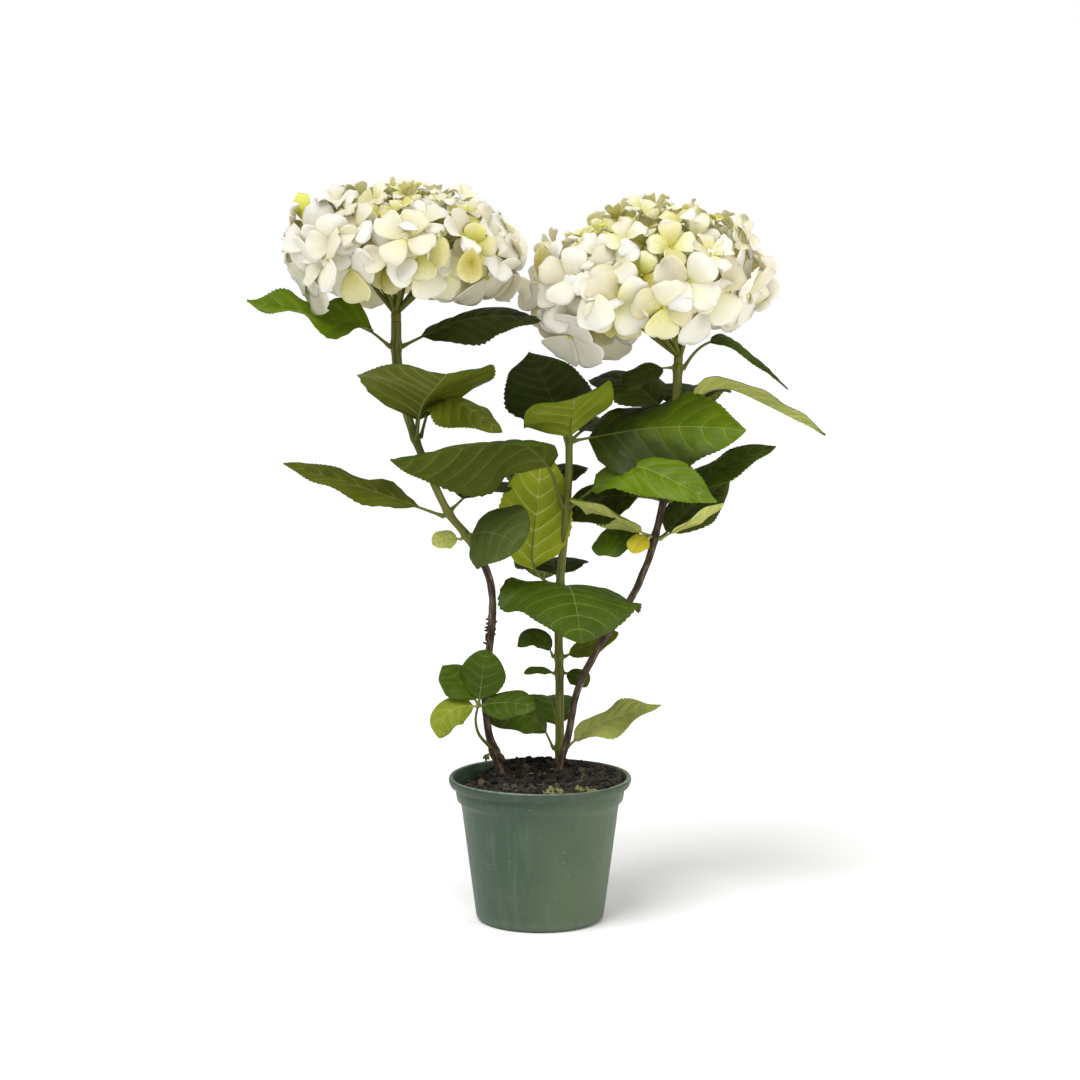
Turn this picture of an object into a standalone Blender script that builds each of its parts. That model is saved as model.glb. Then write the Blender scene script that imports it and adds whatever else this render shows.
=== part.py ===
"""Potted bigleaf hydrangea: three stems from one crown, two white mophead flower heads, a green nursery pot.

Metres, +Z up. The origin is the centre of the pot's flat underside. The front of the plant faces -Y.
Each stem is one tapering limb. The leaves of a joint are one mass: a collar clasps the stem there, and the
stalks and blades are fused to it. Each flower head is one mass: rays that fork from the stem's tip into a
dense heart, and four-petalled florets all round that.
"""

import math
import random
from typing import NamedTuple

import bmesh
import bpy
import numpy as np
from mathutils import Matrix, Vector

# Pot
POT_HEIGHT = 0.131
RIM_RADIUS = 0.0825
BASE_RADIUS = 0.0575
POT_WALL = 0.0016
LIP_HEIGHT = 0.009
COLLAR_HEIGHT = 0.024
COLLAR_STEP = 0.0045
LIP_OVERHANG = 0.0055
FOOT_BEVEL = 0.004
POT_STEPS = 30

# Soil
SOIL_TOP = 0.1245
SOIL_EDGE_DROP = 0.003
SOIL_FLAT_RADIUS = 0.055

# Gap that touching pieces keep
CLEAR = 0.0003

# Stems
FLARE_HEIGHT = 0.014

# Leaves
BLADE_ALONG = 5
BLADE_ACROSS = 4
SMALL_LEAF = 0.071
BLADE_THICKNESS = 0.0014
STALK_RADIUS = 0.0017
STALK_SIDES_LEVEL = 0
STALK_SPANS = 3
STALK_IN_BLADE = 0.16
COLLAR_SIDES = 8
COLLAR_THICKNESS = 0.0018
SPINE_STEPS = 40
OUTLINE_BASE = 0.62
OUTLINE_TIP = 0.90
BLADE_END_HALF_WIDTH = 0.0009

# Flower heads
FLORET_THICKNESS = 0.0016
FLORET_NOTCH = 0.84
FLORET_CUP = 0.22
HEART_SHARE = 0.80
RAYS = 6
RAY_RADIUS = 0.0022
FLORET_STALK_RADIUS = 0.0009
GOLDEN_TURN = math.pi * (3 - math.sqrt(5))


class Limb(NamedTuple):
    """One tapering stem: the places it passes, from its foot, and its radius along them."""

    name: str
    places: tuple
    foot_radius: float
    tip_radius: float


class Leaf(NamedTuple):
    """One leaf. Angles are in degrees, sizes in metres.

    turn is its direction seen from above, from +X towards +Y. lift is the stalk's first angle above level.
    droop is how far the leaf has bent down by its tip, between the two shares of its length in bend. roll
    tips the blade about its midrib. fold raises both halves into a V, curl rolls their edges down, and wave
    ripples the edges.
    """

    turn: float
    length: float
    width: float
    stalk: float = 0.020
    lift: float = 35.0
    droop: float = 50.0
    bend: tuple = (0.1, 1.0)
    roll: float = 0.0
    fold: float = 12.0
    curl: float = 30.0
    wave: float = 0.10


class LeafMass(NamedTuple):
    """Leaves that share one joint of a stem, at that height."""

    name: str
    limb: str
    height: float
    leaves: tuple


class FlowerHead(NamedTuple):
    """A dome of florets on the tip of a limb. tilt leans its crown to +X, in degrees."""

    name: str
    limb: str
    centre: tuple
    radii: tuple
    tilt: float
    florets: int
    lowest_angle: float
    petal: float
    seed: int


LIMBS = (
    Limb(
        "left_stem",
        (
            (-0.034, 0.030, 0.100),
            (-0.038, 0.030, 0.135),
            (-0.047, 0.030, 0.165),
            (-0.050, 0.030, 0.205),
            (-0.045, 0.029, 0.250),
            (-0.043, 0.027, 0.288),
            (-0.049, 0.023, 0.316),
            (-0.067, 0.016, 0.348),
            (-0.083, 0.010, 0.370),
            (-0.103, 0.003, 0.415),
            (-0.117, -0.002, 0.455),
            (-0.126, -0.004, 0.500),
            (-0.127, -0.004, 0.540),
        ),
        0.0046,
        0.0046,
    ),
    Limb(
        "middle_stem",
        (
            (0.018, 0.049, 0.100),
            (0.018, 0.048, 0.145),
            (0.018, 0.046, 0.200),
            (0.017, 0.043, 0.260),
            (0.019, 0.040, 0.310),
            (0.023, 0.036, 0.355),
            (0.026, 0.033, 0.400),
            (0.026, 0.031, 0.436),
        ),
        0.0046,
        0.0032,
    ),
    Limb(
        "right_stem",
        (
            (0.011, 0.025, 0.100),
            (0.019, 0.024, 0.137),
            (0.026, 0.022, 0.165),
            (0.034, 0.020, 0.205),
            (0.054, 0.019, 0.246),
            (0.081, 0.020, 0.287),
            (0.097, 0.022, 0.322),
            (0.105, 0.025, 0.350),
            (0.114, 0.028, 0.390),
            (0.121, 0.031, 0.440),
            (0.124, 0.033, 0.500),
        ),
        0.0042,
        0.0042,
    ),
)

LEAF_MASSES = (
    LeafMass(
        "left_top_leaves",
        "left_stem",
        0.518,
        (
            Leaf(193, 0.114, 0.056, 0.020, 40, 26, (0.05, 0.35), roll=24, fold=22, curl=22, wave=0.28),
            Leaf(4, 0.110, 0.080, 0.020, 26, 36, roll=-16, fold=10, curl=44, wave=0.12),
        ),
    ),
    LeafMass(
        "left_upper_leaves",
        "left_stem",
        0.436,
        (
            Leaf(-80, 0.096, 0.112, 0.020, 70, 52, (0.05, 0.45), roll=10, fold=14, curl=12),
            Leaf(20, 0.096, 0.066, 0.022, 66, 104, (0.05, 0.8), roll=12, fold=12, curl=20),
            Leaf(86, 0.112, 0.080, 0.024, 46, 60),
        ),
    ),
    LeafMass(
        "left_middle_leaves",
        "left_stem",
        0.368,
        (
            Leaf(180, 0.126, 0.060, 0.024, 20, 4, roll=16, fold=14, curl=26),
            Leaf(52, 0.070, 0.052, 0.018, 28, 40, roll=-6),
        ),
    ),
    LeafMass(
        "left_lower_leaves",
        "left_stem",
        0.347,
        (
            Leaf(-60, 0.066, 0.068, 0.002, 22, 40, (0.0, 0.8), roll=-52, fold=4, curl=20),
            Leaf(196, 0.024, 0.022, 0.003, 8, 40, roll=45),
        ),
    ),
    LeafMass(
        "middle_top_leaves",
        "middle_stem",
        0.431,
        (
            Leaf(-86, 0.062, 0.092, 0.007, 50, 26, roll=-20, fold=18, curl=10),
            Leaf(-20, 0.124, 0.096, 0.038, 6, 24, roll=-66, fold=4, curl=16, wave=0.10),
            Leaf(120, 0.112, 0.094, 0.022, 48, 46, roll=14, fold=10),
            Leaf(62, 0.098, 0.076, 0.020, 18, 50, roll=-10),
        ),
    ),
    LeafMass(
        "middle_upper_leaves",
        "middle_stem",
        0.372,
        (
            Leaf(208, 0.152, 0.082, 0.026, 64, 76, (0.06, 0.55), roll=-48, fold=8, curl=20),
            Leaf(-47, 0.120, 0.058, 0.042, 36, 56, (0.25, 0.62), roll=-54, fold=8, curl=24),
            Leaf(106, 0.112, 0.078, 0.026, 38, 76, (0.1, 0.8)),
        ),
    ),
    LeafMass(
        "middle_lower_leaves",
        "middle_stem",
        0.297,
        (
            Leaf(-80, 0.100, 0.130, 0.014, 14, 66, (0.05, 0.9), roll=-6, fold=6, curl=30),
            Leaf(212, 0.100, 0.070, 0.014, 66, -14, roll=-54, fold=6, curl=10),
            Leaf(98, 0.094, 0.070, 0.018, 26, 70),
        ),
    ),
    LeafMass(
        "middle_small_leaves",
        "middle_stem",
        0.232,
        (
            Leaf(184, 0.040, 0.026, 0.012, 68, 120, (0.1, 1.0), roll=34),
            Leaf(-6, 0.042, 0.028, 0.012, 64, 60, (0.2, 1.0), roll=-26),
        ),
    ),
    LeafMass(
        "middle_tiny_leaves",
        "middle_stem",
        0.217,
        (
            Leaf(202, 0.028, 0.014, 0.004, 20, 40, roll=20),
            Leaf(-30, 0.024, 0.022, 0.003, 0, 60, roll=-30),
        ),
    ),
    LeafMass(
        "middle_foot_leaves",
        "middle_stem",
        0.146,
        (
            Leaf(186, 0.056, 0.044, 0.026, 66, 76, (0.1, 0.8), roll=30, fold=10),
            Leaf(-4, 0.076, 0.040, 0.022, 46, 40, (0.1, 0.6), roll=-30, fold=12),
            Leaf(98, 0.070, 0.048, 0.024, 48, 60),
        ),
    ),
    LeafMass(
        "right_top_leaves",
        "right_stem",
        0.450,
        (
            Leaf(-12, 0.132, 0.052, 0.020, 62, 88, (0.0, 0.5), roll=18, fold=24, curl=20),
            Leaf(152, 0.078, 0.068, 0.016, 46, 56, roll=16),
            Leaf(74, 0.104, 0.072, 0.024, 32, 70),
        ),
    ),
    LeafMass(
        "right_high_leaves",
        "right_stem",
        0.4965,
        (
            Leaf(18, 0.092, 0.040, 0.034, 56, 96, (0.0, 0.6), roll=-16, fold=14),
            Leaf(206, 0.044, 0.034, 0.010, 0, 50, roll=20),
        ),
    ),
    LeafMass(
        "right_middle_leaves",
        "right_stem",
        0.378,
        (
            Leaf(10, 0.094, 0.054, 0.016, 34, 18, roll=-18, fold=14),
            Leaf(146, 0.062, 0.054, 0.018, 20, 30, roll=32, fold=6),
            Leaf(96, 0.104, 0.072, 0.022, 30, 70),
        ),
    ),
    LeafMass(
        "right_lower_leaves",
        "right_stem",
        0.344,
        (
            Leaf(188, 0.060, 0.034, 0.008, 28, 4, roll=6, fold=18),
            Leaf(-20, 0.058, 0.030, 0.010, 32, 4, roll=14, fold=12),
            Leaf(22, 0.076, 0.050, 0.010, 42, 14, roll=-34, fold=10),
            Leaf(214, 0.022, 0.022, 0.003, -14, 50, roll=30),
            Leaf(154, 0.050, 0.046, 0.010, 0, 30, roll=38, fold=6),
        ),
    ),
)

# The side shoot that springs from the left stem's foot
FOOT_SHOOT_HEIGHT = 0.150
FOOT_SHOOT_PLACES = ((-0.055, 0.010, 0.166), (-0.058, 0.002, 0.182), (-0.055, -0.002, 0.197))
FOOT_SHOOT_RADIUS = 0.0013
FOOT_SHOOT_LEAVES = (
    Leaf(20, 0.046, 0.042, 0.004, 82, 0, roll=-60, fold=8),
    Leaf(134, 0.042, 0.036, 0.006, 62, 14, roll=24, fold=8),
    Leaf(194, 0.050, 0.034, 0.004, 14, 92, roll=36, fold=6),
    Leaf(-30, 0.056, 0.034, 0.004, 14, 24, roll=-40, fold=6),
)

FLOWER_HEADS = (
    FlowerHead(
        "left_flower_head",
        "left_stem",
        centre=(-0.1185, -0.006, 0.601),
        radii=(0.090, 0.088, 0.050),
        tilt=2,
        florets=36,
        lowest_angle=117,
        petal=0.031,
        seed=7,
    ),
    FlowerHead(
        "right_flower_head",
        "right_stem",
        centre=(0.0985, 0.028, 0.571),
        radii=(0.091, 0.088, 0.063),
        tilt=-9,
        florets=38,
        lowest_angle=122,
        petal=0.031,
        seed=21,
    ),
)


def smooth_step(share):
    """0 to 1 with level ends."""
    share = min(1.0, max(0.0, share))
    return share * share * (3 - 2 * share)


def through(places, share):
    """A place on the smooth curve through all the places, at a share of their number."""
    spans = len(places) - 1
    at = min(max(share, 0.0), 1.0) * spans
    first = min(int(at), spans - 1)
    t = at - first
    before, start, end, after = (
        np.array(places[min(max(i, 0), spans)], float) for i in range(first - 1, first + 3)
    )
    return 0.5 * (
        2 * start
        + (end - before) * t
        + (2 * before - 5 * start + 4 * end - after) * t**2
        + (3 * start - before - 3 * end + after) * t**3
    )


def limb_named(name):
    return next(limb for limb in LIMBS if limb.name == name)


def limb_share(limb, height):
    """The share of a limb's run at which it passes a height."""
    low, high = 0.0, 1.0
    for _ in range(30):
        middle = (low + high) / 2
        if through(limb.places, middle)[2] < height:
            low = middle
        else:
            high = middle
    return (low + high) / 2


def joint(limb, share):
    """(place, direction) of a limb at a share of its run."""
    along = Vector(through(limb.places, share + 0.01) - through(limb.places, share - 0.01))
    return Vector(through(limb.places, share)), along.normalized()


def limb_radius(limb, share):
    """An even taper from the foot to the tip, with a root flare just above the soil."""
    above = through(limb.places, share)[2] - SOIL_TOP
    flare = 0.4 * limb.foot_radius * max(0.0, 1 - max(above, 0.0) / FLARE_HEIGHT) ** 2
    return limb.foot_radius + (limb.tip_radius - limb.foot_radius) * share + flare


def leaf_spine(leaf, root):
    """The leaf's run from its root, as (places, directions, side vectors), stalk and midrib in one."""
    total = leaf.stalk + leaf.length
    step = total / SPINE_STEPS
    places, directions, sides = [np.array(root, float)], [], []
    for i in range(SPINE_STEPS + 1):
        first, last = leaf.bend
        bent = smooth_step((i / SPINE_STEPS - first) / (last - first))
        lift, turn = math.radians(leaf.lift - leaf.droop * bent), math.radians(leaf.turn)
        directions.append(
            np.array((math.cos(lift) * math.cos(turn), math.cos(lift) * math.sin(turn), math.sin(lift)))
        )
        sides.append(np.array((math.sin(turn), -math.cos(turn), 0.0)))
        places.append(places[-1] + directions[-1] * step)
    return places[:-1], directions, sides


def on_spine(spine, share):
    """(place, direction, side vector) at a share of the whole leaf's length."""
    at = min(max(share, 0.0), 1.0) * SPINE_STEPS
    first = min(int(at), SPINE_STEPS - 1)
    t = at - first
    return tuple(values[first] * (1 - t) + values[first + 1] * t for values in spine)


def half_width(leaf, u):
    """Half the blade's width at a share u of its length: a broad oval that runs out in a point."""
    widest = OUTLINE_BASE / (OUTLINE_BASE + OUTLINE_TIP)
    full = widest**OUTLINE_BASE * (1 - widest) ** OUTLINE_TIP
    shape = u**OUTLINE_BASE * (1 - u) ** OUTLINE_TIP / full
    return max(leaf.width / 2 * shape, BLADE_END_HALF_WIDTH)


def blade_place(leaf, spine, u, v):
    """A place on the blade, u along it from 0 to 1 and v across it from -1 to 1."""
    place, direction, side = on_spine(spine, (leaf.stalk + u * leaf.length) / (leaf.stalk + leaf.length))
    up = np.cross(side, direction)
    roll = math.radians(leaf.roll)
    across = side * math.cos(roll) + up * math.sin(roll)
    above = up * math.cos(roll) - side * math.sin(roll)
    half, t = half_width(leaf, u), abs(v)
    fold, curl = math.radians(leaf.fold), math.radians(max(leaf.curl, 0.1))
    out = (math.sin(fold) - math.sin(fold - curl * t)) / curl
    rise = (math.cos(fold - curl * t) - math.cos(fold)) / curl
    rise += leaf.wave * t**2 * math.sin(2 * math.pi * 1.6 * u + (1.3 if v < 0 else 0.0))
    return place + across * half * out * (1 if v >= 0 else -1) + above * half * rise


def new_object(name, mesh, collection):
    obj = bpy.data.objects.new(name, mesh)
    collection.objects.link(obj)
    return obj


def finished(obj, weld=False):
    """The object as a plain mesh in world space, its modifiers applied, and its points welded if asked."""
    graph = bpy.context.evaluated_depsgraph_get()
    mesh = bpy.data.meshes.new_from_object(obj.evaluated_get(graph))
    old_name, old_collection = obj.name, obj.users_collection[0]
    if weld:
        bm = bmesh.new()
        bm.from_mesh(mesh)
        bmesh.ops.remove_doubles(bm, verts=bm.verts, dist=1e-6)
        bmesh.ops.recalc_face_normals(bm, faces=bm.faces)
        bm.to_mesh(mesh)
        bm.free()
    mesh.transform(obj.matrix_world)
    bpy.data.objects.remove(obj)
    return new_object(old_name, mesh, old_collection)


def tube(name, places, radii, sides_level, collection):
    """A capped round tube through the places, its radius given at each."""
    curve = bpy.data.curves.new(name, "CURVE")
    curve.dimensions = "3D"
    curve.bevel_depth = 1.0
    curve.bevel_resolution = sides_level
    curve.use_fill_caps = True
    spline = curve.splines.new("POLY")
    spline.points.add(len(places) - 1)
    for point, place, radius in zip(spline.points, places, radii):
        point.co = (*place, 1.0)
        point.radius = radius
    obj = new_object(name, curve, collection)
    bpy.context.view_layer.update()
    return finished(obj, weld=True)


def blade(name, leaf, spine, collection):
    """A leaf's blade: a grid bent to the leaf's form and thickened."""
    mesh = bpy.data.meshes.new(name)
    bm = bmesh.new()
    across = 2 if leaf.length < SMALL_LEAF else BLADE_ACROSS
    bmesh.ops.create_grid(bm, x_segments=BLADE_ALONG, y_segments=across, size=0.5)
    for vertex in bm.verts:
        u, v = vertex.co.x + 0.5, vertex.co.y * 2
        vertex.co = blade_place(leaf, spine, u, v)
    bm.to_mesh(mesh)
    bm.free()
    obj = new_object(name, mesh, collection)
    thicken = obj.modifiers.new("thickness", "SOLIDIFY")
    thicken.thickness = max(BLADE_THICKNESS, leaf.length / 100)
    thicken.offset = 0.0
    bpy.context.view_layer.update()
    return finished(obj)


def leaf_pieces(name, leaf, root, collection):
    """A leaf's stalk and blade. The stalk starts at the root and ends well inside the blade."""
    spine = leaf_spine(leaf, root)
    total = leaf.stalk + leaf.length
    stalk_end = (leaf.stalk + STALK_IN_BLADE * leaf.length) / total
    radius = min(STALK_RADIUS, 0.0009 + leaf.length * 0.008)
    shares = [stalk_end * i / STALK_SPANS for i in range(STALK_SPANS + 1)]
    places = [on_spine(spine, share)[0] for share in shares]
    radii = [radius * (1 - 0.35 * share / stalk_end) for share in shares]
    tube(f"{name}_stalk", places, radii, STALK_SIDES_LEVEL, collection)
    blade(f"{name}_blade", leaf, spine, collection)


def fused(body, collection):
    """The body with everything in the collection joined to it by one union, the collection then emptied."""
    union = body.modifiers.new("fuse", "BOOLEAN")
    union.operation = "UNION"
    union.operand_type = "COLLECTION"
    union.collection = collection
    union.solver = "EXACT"
    bpy.context.view_layer.update()
    body = finished(body)
    for piece in list(collection.objects):
        bpy.data.objects.remove(piece)
    bpy.data.collections.remove(collection)
    return body


def scratch_collection(name):
    collection = bpy.data.collections.new(name)
    bpy.context.scene.collection.children.link(collection)
    return collection


def make_material(name, colour, roughness):
    material = bpy.data.materials.new(name)
    material.use_nodes = True
    shader = material.node_tree.nodes["Principled BSDF"]
    shader.inputs["Base Color"].default_value = (*colour, 1.0)
    shader.inputs["Roughness"].default_value = roughness
    shader.inputs["Metallic"].default_value = 0.0
    return material


def clad(obj, material):
    obj.data.materials.clear()
    obj.data.materials.append(material)


def turned(name, profile, collection):
    """A body turned about Z from a profile of (radius, height) points, running down its outside."""
    mesh = bpy.data.meshes.new(name)
    points = [(radius, 0.0, height) for radius, height in profile]
    edges = [(i, i + 1) for i in range(len(points) - 1)]
    mesh.from_pydata(points, edges, [])
    obj = new_object(name, mesh, collection)
    screw = obj.modifiers.new("turn", "SCREW")
    screw.steps = screw.render_steps = POT_STEPS
    screw.use_merge_vertices = True
    screw.merge_threshold = 0.00005
    bpy.context.view_layer.update()
    return finished(obj, weld=True)


def wall_radius(height):
    """The pot's outer radius below its collar."""
    top_radius = RIM_RADIUS - LIP_OVERHANG - COLLAR_STEP
    share = height / (POT_HEIGHT - COLLAR_HEIGHT)
    return BASE_RADIUS + (top_radius - BASE_RADIUS) * share


def make_pot(collection):
    """The nursery pot: rolled lip, collar band, step and tapering wall."""
    collar = RIM_RADIUS - LIP_OVERHANG
    collar_foot = POT_HEIGHT - COLLAR_HEIGHT
    outside = [
        (RIM_RADIUS - 0.0015, POT_HEIGHT),
        (RIM_RADIUS, POT_HEIGHT - 0.0015),
        (RIM_RADIUS - 0.0008, POT_HEIGHT - LIP_HEIGHT),
        (collar + 0.0005, POT_HEIGHT - LIP_HEIGHT - 0.001),
        (collar - 0.0020, collar_foot + 0.003),
        (wall_radius(collar_foot), collar_foot),
        (wall_radius(FOOT_BEVEL), FOOT_BEVEL),
        (BASE_RADIUS - FOOT_BEVEL * 0.35, FOOT_BEVEL * 0.3),
        (BASE_RADIUS - FOOT_BEVEL, 0.0),
        (0.0, 0.0),
    ]
    inside = [
        (0.0, POT_WALL),
        (BASE_RADIUS - FOOT_BEVEL, POT_WALL),
        (wall_radius(FOOT_BEVEL) - POT_WALL, FOOT_BEVEL + POT_WALL),
        (wall_radius(collar_foot) - POT_WALL, collar_foot),
        (collar - 0.0020 - POT_WALL, collar_foot + 0.004),
        (collar + 0.0005 - POT_WALL, POT_HEIGHT - LIP_HEIGHT),
        (RIM_RADIUS - 0.0045, POT_HEIGHT - 0.0008),
        (RIM_RADIUS - 0.0015, POT_HEIGHT),
    ]
    pot = turned("pot", outside + inside, collection)
    clad(pot, make_material("pot_plastic", (0.09, 0.17, 0.12), 0.45))


def make_soil(collection):
    """The potting soil: fills the pot to just under its lip, level where the stems stand."""
    inner = POT_WALL + CLEAR
    collar = RIM_RADIUS - LIP_OVERHANG
    collar_foot = POT_HEIGHT - COLLAR_HEIGHT
    edge = SOIL_TOP - SOIL_EDGE_DROP
    outside = [
        (0.0, SOIL_TOP),
        (SOIL_FLAT_RADIUS, SOIL_TOP),
        (collar - inner - 0.001, edge),
        (collar - 0.0024 - inner, collar_foot + 0.0044),
        (wall_radius(collar_foot) - inner - 0.0002, collar_foot - 0.001),
        (wall_radius(FOOT_BEVEL) - inner - 0.0005, FOOT_BEVEL + POT_WALL + CLEAR),
        (BASE_RADIUS - FOOT_BEVEL - 0.001, POT_WALL + CLEAR),
        (0.0, POT_WALL + CLEAR),
    ]
    soil = turned("potting_soil", outside, collection)
    clad(soil, make_material("soil", (0.035, 0.024, 0.016), 0.95))


def cut_level(obj, height):
    """Cuts everything off below a height and closes the cut with a flat face."""
    bm = bmesh.new()
    bm.from_mesh(obj.data)
    geometry = [*bm.verts, *bm.edges, *bm.faces]
    cut = bmesh.ops.bisect_plane(
        bm, geom=geometry, plane_co=(0, 0, height), plane_no=(0, 0, 1), clear_inner=True
    )
    edges = [item for item in cut["geom_cut"] if isinstance(item, bmesh.types.BMEdge)]
    bmesh.ops.contextual_create(bm, geom=edges)
    bmesh.ops.recalc_face_normals(bm, faces=bm.faces)
    bm.to_mesh(obj.data)
    bm.free()


def make_limb(limb, collection, material):
    """A stem, run a little way into the ground and then cut flat just above the soil."""
    steps = 2 * (len(limb.places) - 1)
    shares = [i / steps for i in range(steps + 1)]
    places = [through(limb.places, share) for share in shares]
    radii = [limb_radius(limb, share) for share in shares]
    stem = tube(limb.name, places, radii, 2, collection)
    cut_level(stem, SOIL_TOP + CLEAR)
    clad(stem, material)


def make_leaf_mass(mass, collection, material):
    """A collar round the stem at one joint, with its leaves fused on."""
    limb = limb_named(mass.limb)
    share = limb_share(limb, mass.height)
    centre, along = joint(limb, share)
    inner = (limb_radius(limb, share) + CLEAR) / math.cos(math.pi / COLLAR_SIDES)
    major = inner + COLLAR_THICKNESS
    bpy.ops.mesh.primitive_torus_add(
        major_segments=COLLAR_SIDES,
        minor_segments=4,
        major_radius=major,
        minor_radius=COLLAR_THICKNESS,
        location=centre,
        rotation=along.to_track_quat("Z", "Y").to_euler(),
    )
    collar = bpy.context.active_object
    collar.name = mass.name
    for holder in list(collar.users_collection):
        holder.objects.unlink(collar)
    collection.objects.link(collar)
    pieces = scratch_collection(f"{mass.name}_pieces")
    for i, leaf in enumerate(mass.leaves):
        turn = math.radians(leaf.turn)
        outward = Vector((math.cos(turn), math.sin(turn), 0.0))
        outward = (outward - along * outward.dot(along)).normalized()
        root = centre + outward * major
        leaf_pieces(f"{mass.name}_{i}", leaf, root, pieces)
    clad(fused(collar, pieces), material)


def make_foot_shoot(collection, material):
    """The thin side shoot low on the left stem, with its four small leaves."""
    limb = limb_named("left_stem")
    share = limb_share(limb, FOOT_SHOOT_HEIGHT)
    centre, along = joint(limb, share)
    outward = Vector(FOOT_SHOOT_PLACES[0]) - centre
    outward = (outward - along * outward.dot(along)).normalized()
    reach = limb_radius(limb, share) + CLEAR + FOOT_SHOOT_RADIUS * 0.7
    places = (tuple(centre + outward * reach), *FOOT_SHOOT_PLACES)
    shares = [i / 6 for i in range(7)]
    line = [through(places, s) for s in shares]
    radii = [FOOT_SHOOT_RADIUS * (1.15 - 0.3 * s) for s in shares]
    shoot = tube("left_foot_spray", line, radii, 1, collection)
    pieces = scratch_collection("left_foot_spray_pieces")
    for i, leaf in enumerate(FOOT_SHOOT_LEAVES):
        root = through(places, 0.97 - 0.05 * (i // 2))
        leaf_pieces(f"left_foot_spray_{i}", leaf, root, pieces)
    clad(fused(shoot, pieces), material)


def head_frame(head):
    """(centre, turning matrix) of a flower head's dome."""
    return Vector(head.centre), Matrix.Rotation(math.radians(head.tilt), 3, "Y")


def floret_seats(head):
    """Where the florets sit: an even spiral over the dome, as (seat, outward normal, size share)."""
    centre, turning = head_frame(head)
    chance = random.Random(head.seed)
    lowest = math.cos(math.radians(head.lowest_angle))
    for i in range(head.florets):
        height = 1 - (1 - lowest) * (i + 0.5) / head.florets
        around = i * GOLDEN_TURN + chance.uniform(-0.12, 0.12)
        level = math.sqrt(1 - height * height)
        spot = Vector((level * math.cos(around), level * math.sin(around), height))
        radii = Vector(head.radii) * chance.uniform(0.92, 1.06)
        seat = centre + turning @ Vector(a * b for a, b in zip(spot, radii))
        normal = turning @ Vector(a / b for a, b in zip(spot, radii)).normalized()
        size = 0.80 + 0.32 * (1 - height) / (1 - lowest)
        yield seat, normal, size * chance.uniform(0.92, 1.08)


def floret(name, seat, normal, turn, reach, collection):
    """Four broad petals as one thin cupped body, its centre at the seat and its face along the normal."""
    mesh = bpy.data.meshes.new(name)
    bm = bmesh.new()
    bmesh.ops.create_cone(
        bm, cap_ends=False, segments=8, radius1=reach, radius2=0.0, depth=FLORET_THICKNESS
    )
    rim = [vertex for vertex in bm.verts if vertex.co.xy.length > reach / 2]
    below = bm.verts.new((0.0, 0.0, -FLORET_THICKNESS))
    for edge in [edge for edge in bm.edges if edge.is_boundary]:
        bm.faces.new((*edge.verts, below))
    bmesh.ops.recalc_face_normals(bm, faces=bm.faces)
    for vertex in rim:
        angle = math.atan2(vertex.co.y, vertex.co.x)
        notch = abs(math.cos(2 * angle)) < 0.5
        vertex.co.xy *= FLORET_NOTCH if notch else 1.0
        vertex.co.z = 0.0 if notch else reach * FLORET_CUP
    facing = normal.to_track_quat("Z", "X").to_matrix().to_4x4()
    bm.transform(Matrix.Translation(seat) @ facing @ Matrix.Rotation(turn, 4, "Z"))
    bm.to_mesh(mesh)
    bm.free()
    return new_object(name, mesh, collection)


def make_flower_head(head, collection, material):
    """Rays that fork from the stem's tip into a dense heart, with florets on short stalks all round it."""
    chance = random.Random(head.seed + 1)
    limb = limb_named(head.limb)
    tip, onward = joint(limb, 1.0)
    foot = tip + onward * CLEAR
    fork = foot + onward * 0.010
    centre, turning = head_frame(head)
    stalk = tube(head.name, (foot, fork, fork + onward * 0.004), (0.0040, 0.0042, 0.0030), 1, collection)
    pieces = scratch_collection(f"{head.name}_pieces")
    heart = bpy.data.meshes.new(f"{head.name}_heart")
    bm = bmesh.new()
    bmesh.ops.create_icosphere(bm, subdivisions=2, radius=1.0)
    size = Matrix.Diagonal((*(Vector(head.radii) * HEART_SHARE), 1.0))
    bm.transform(Matrix.Translation(centre) @ turning.to_4x4() @ size)
    bm.to_mesh(heart)
    bm.free()
    new_object(heart.name, heart, pieces)
    for i in range(RAYS):
        around = i * 2 * math.pi / RAYS + 0.4
        spread = Vector((math.cos(around) * head.radii[0], math.sin(around) * head.radii[1], 0.0)) * 0.42
        ends = (fork, centre + turning @ spread)
        tube(f"{head.name}_ray_{i}", ends, (RAY_RADIUS, RAY_RADIUS * 0.8), 0, pieces)
    for i, (seat, normal, size) in enumerate(floret_seats(head)):
        root = centre.lerp(seat, HEART_SHARE * 0.7)
        radii = (FLORET_STALK_RADIUS * 1.3, FLORET_STALK_RADIUS)
        tube(f"{head.name}_floret_stalk_{i}", (root, seat), radii, 0, pieces)
        facing = (normal + Vector(chance.uniform(-0.25, 0.25) for _ in range(3))).normalized()
        reach = head.petal * size
        floret(f"{head.name}_floret_{i}", seat, facing, chance.uniform(0, math.pi / 2), reach, pieces)
    clad(fused(stalk, pieces), material)


def main():
    for obj in list(bpy.data.objects):
        bpy.data.objects.remove(obj)
    plant = bpy.data.collections.new("potted_bigleaf_hydrangea")
    bpy.context.scene.collection.children.link(plant)
    bark = make_material("bark", (0.16, 0.10, 0.055), 0.8)
    leaf_green = make_material("leaf_green", (0.08, 0.17, 0.025), 0.5)
    petal_white = make_material("petal_white", (0.86, 0.86, 0.74), 0.6)
    make_pot(plant)
    make_soil(plant)
    for limb in LIMBS:
        make_limb(limb, plant, bark)
    for mass in LEAF_MASSES:
        make_leaf_mass(mass, plant, leaf_green)
    make_foot_shoot(plant, leaf_green)
    for head in FLOWER_HEADS:
        make_flower_head(head, plant, petal_white)


if __name__ == "__main__":
    main()
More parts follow.
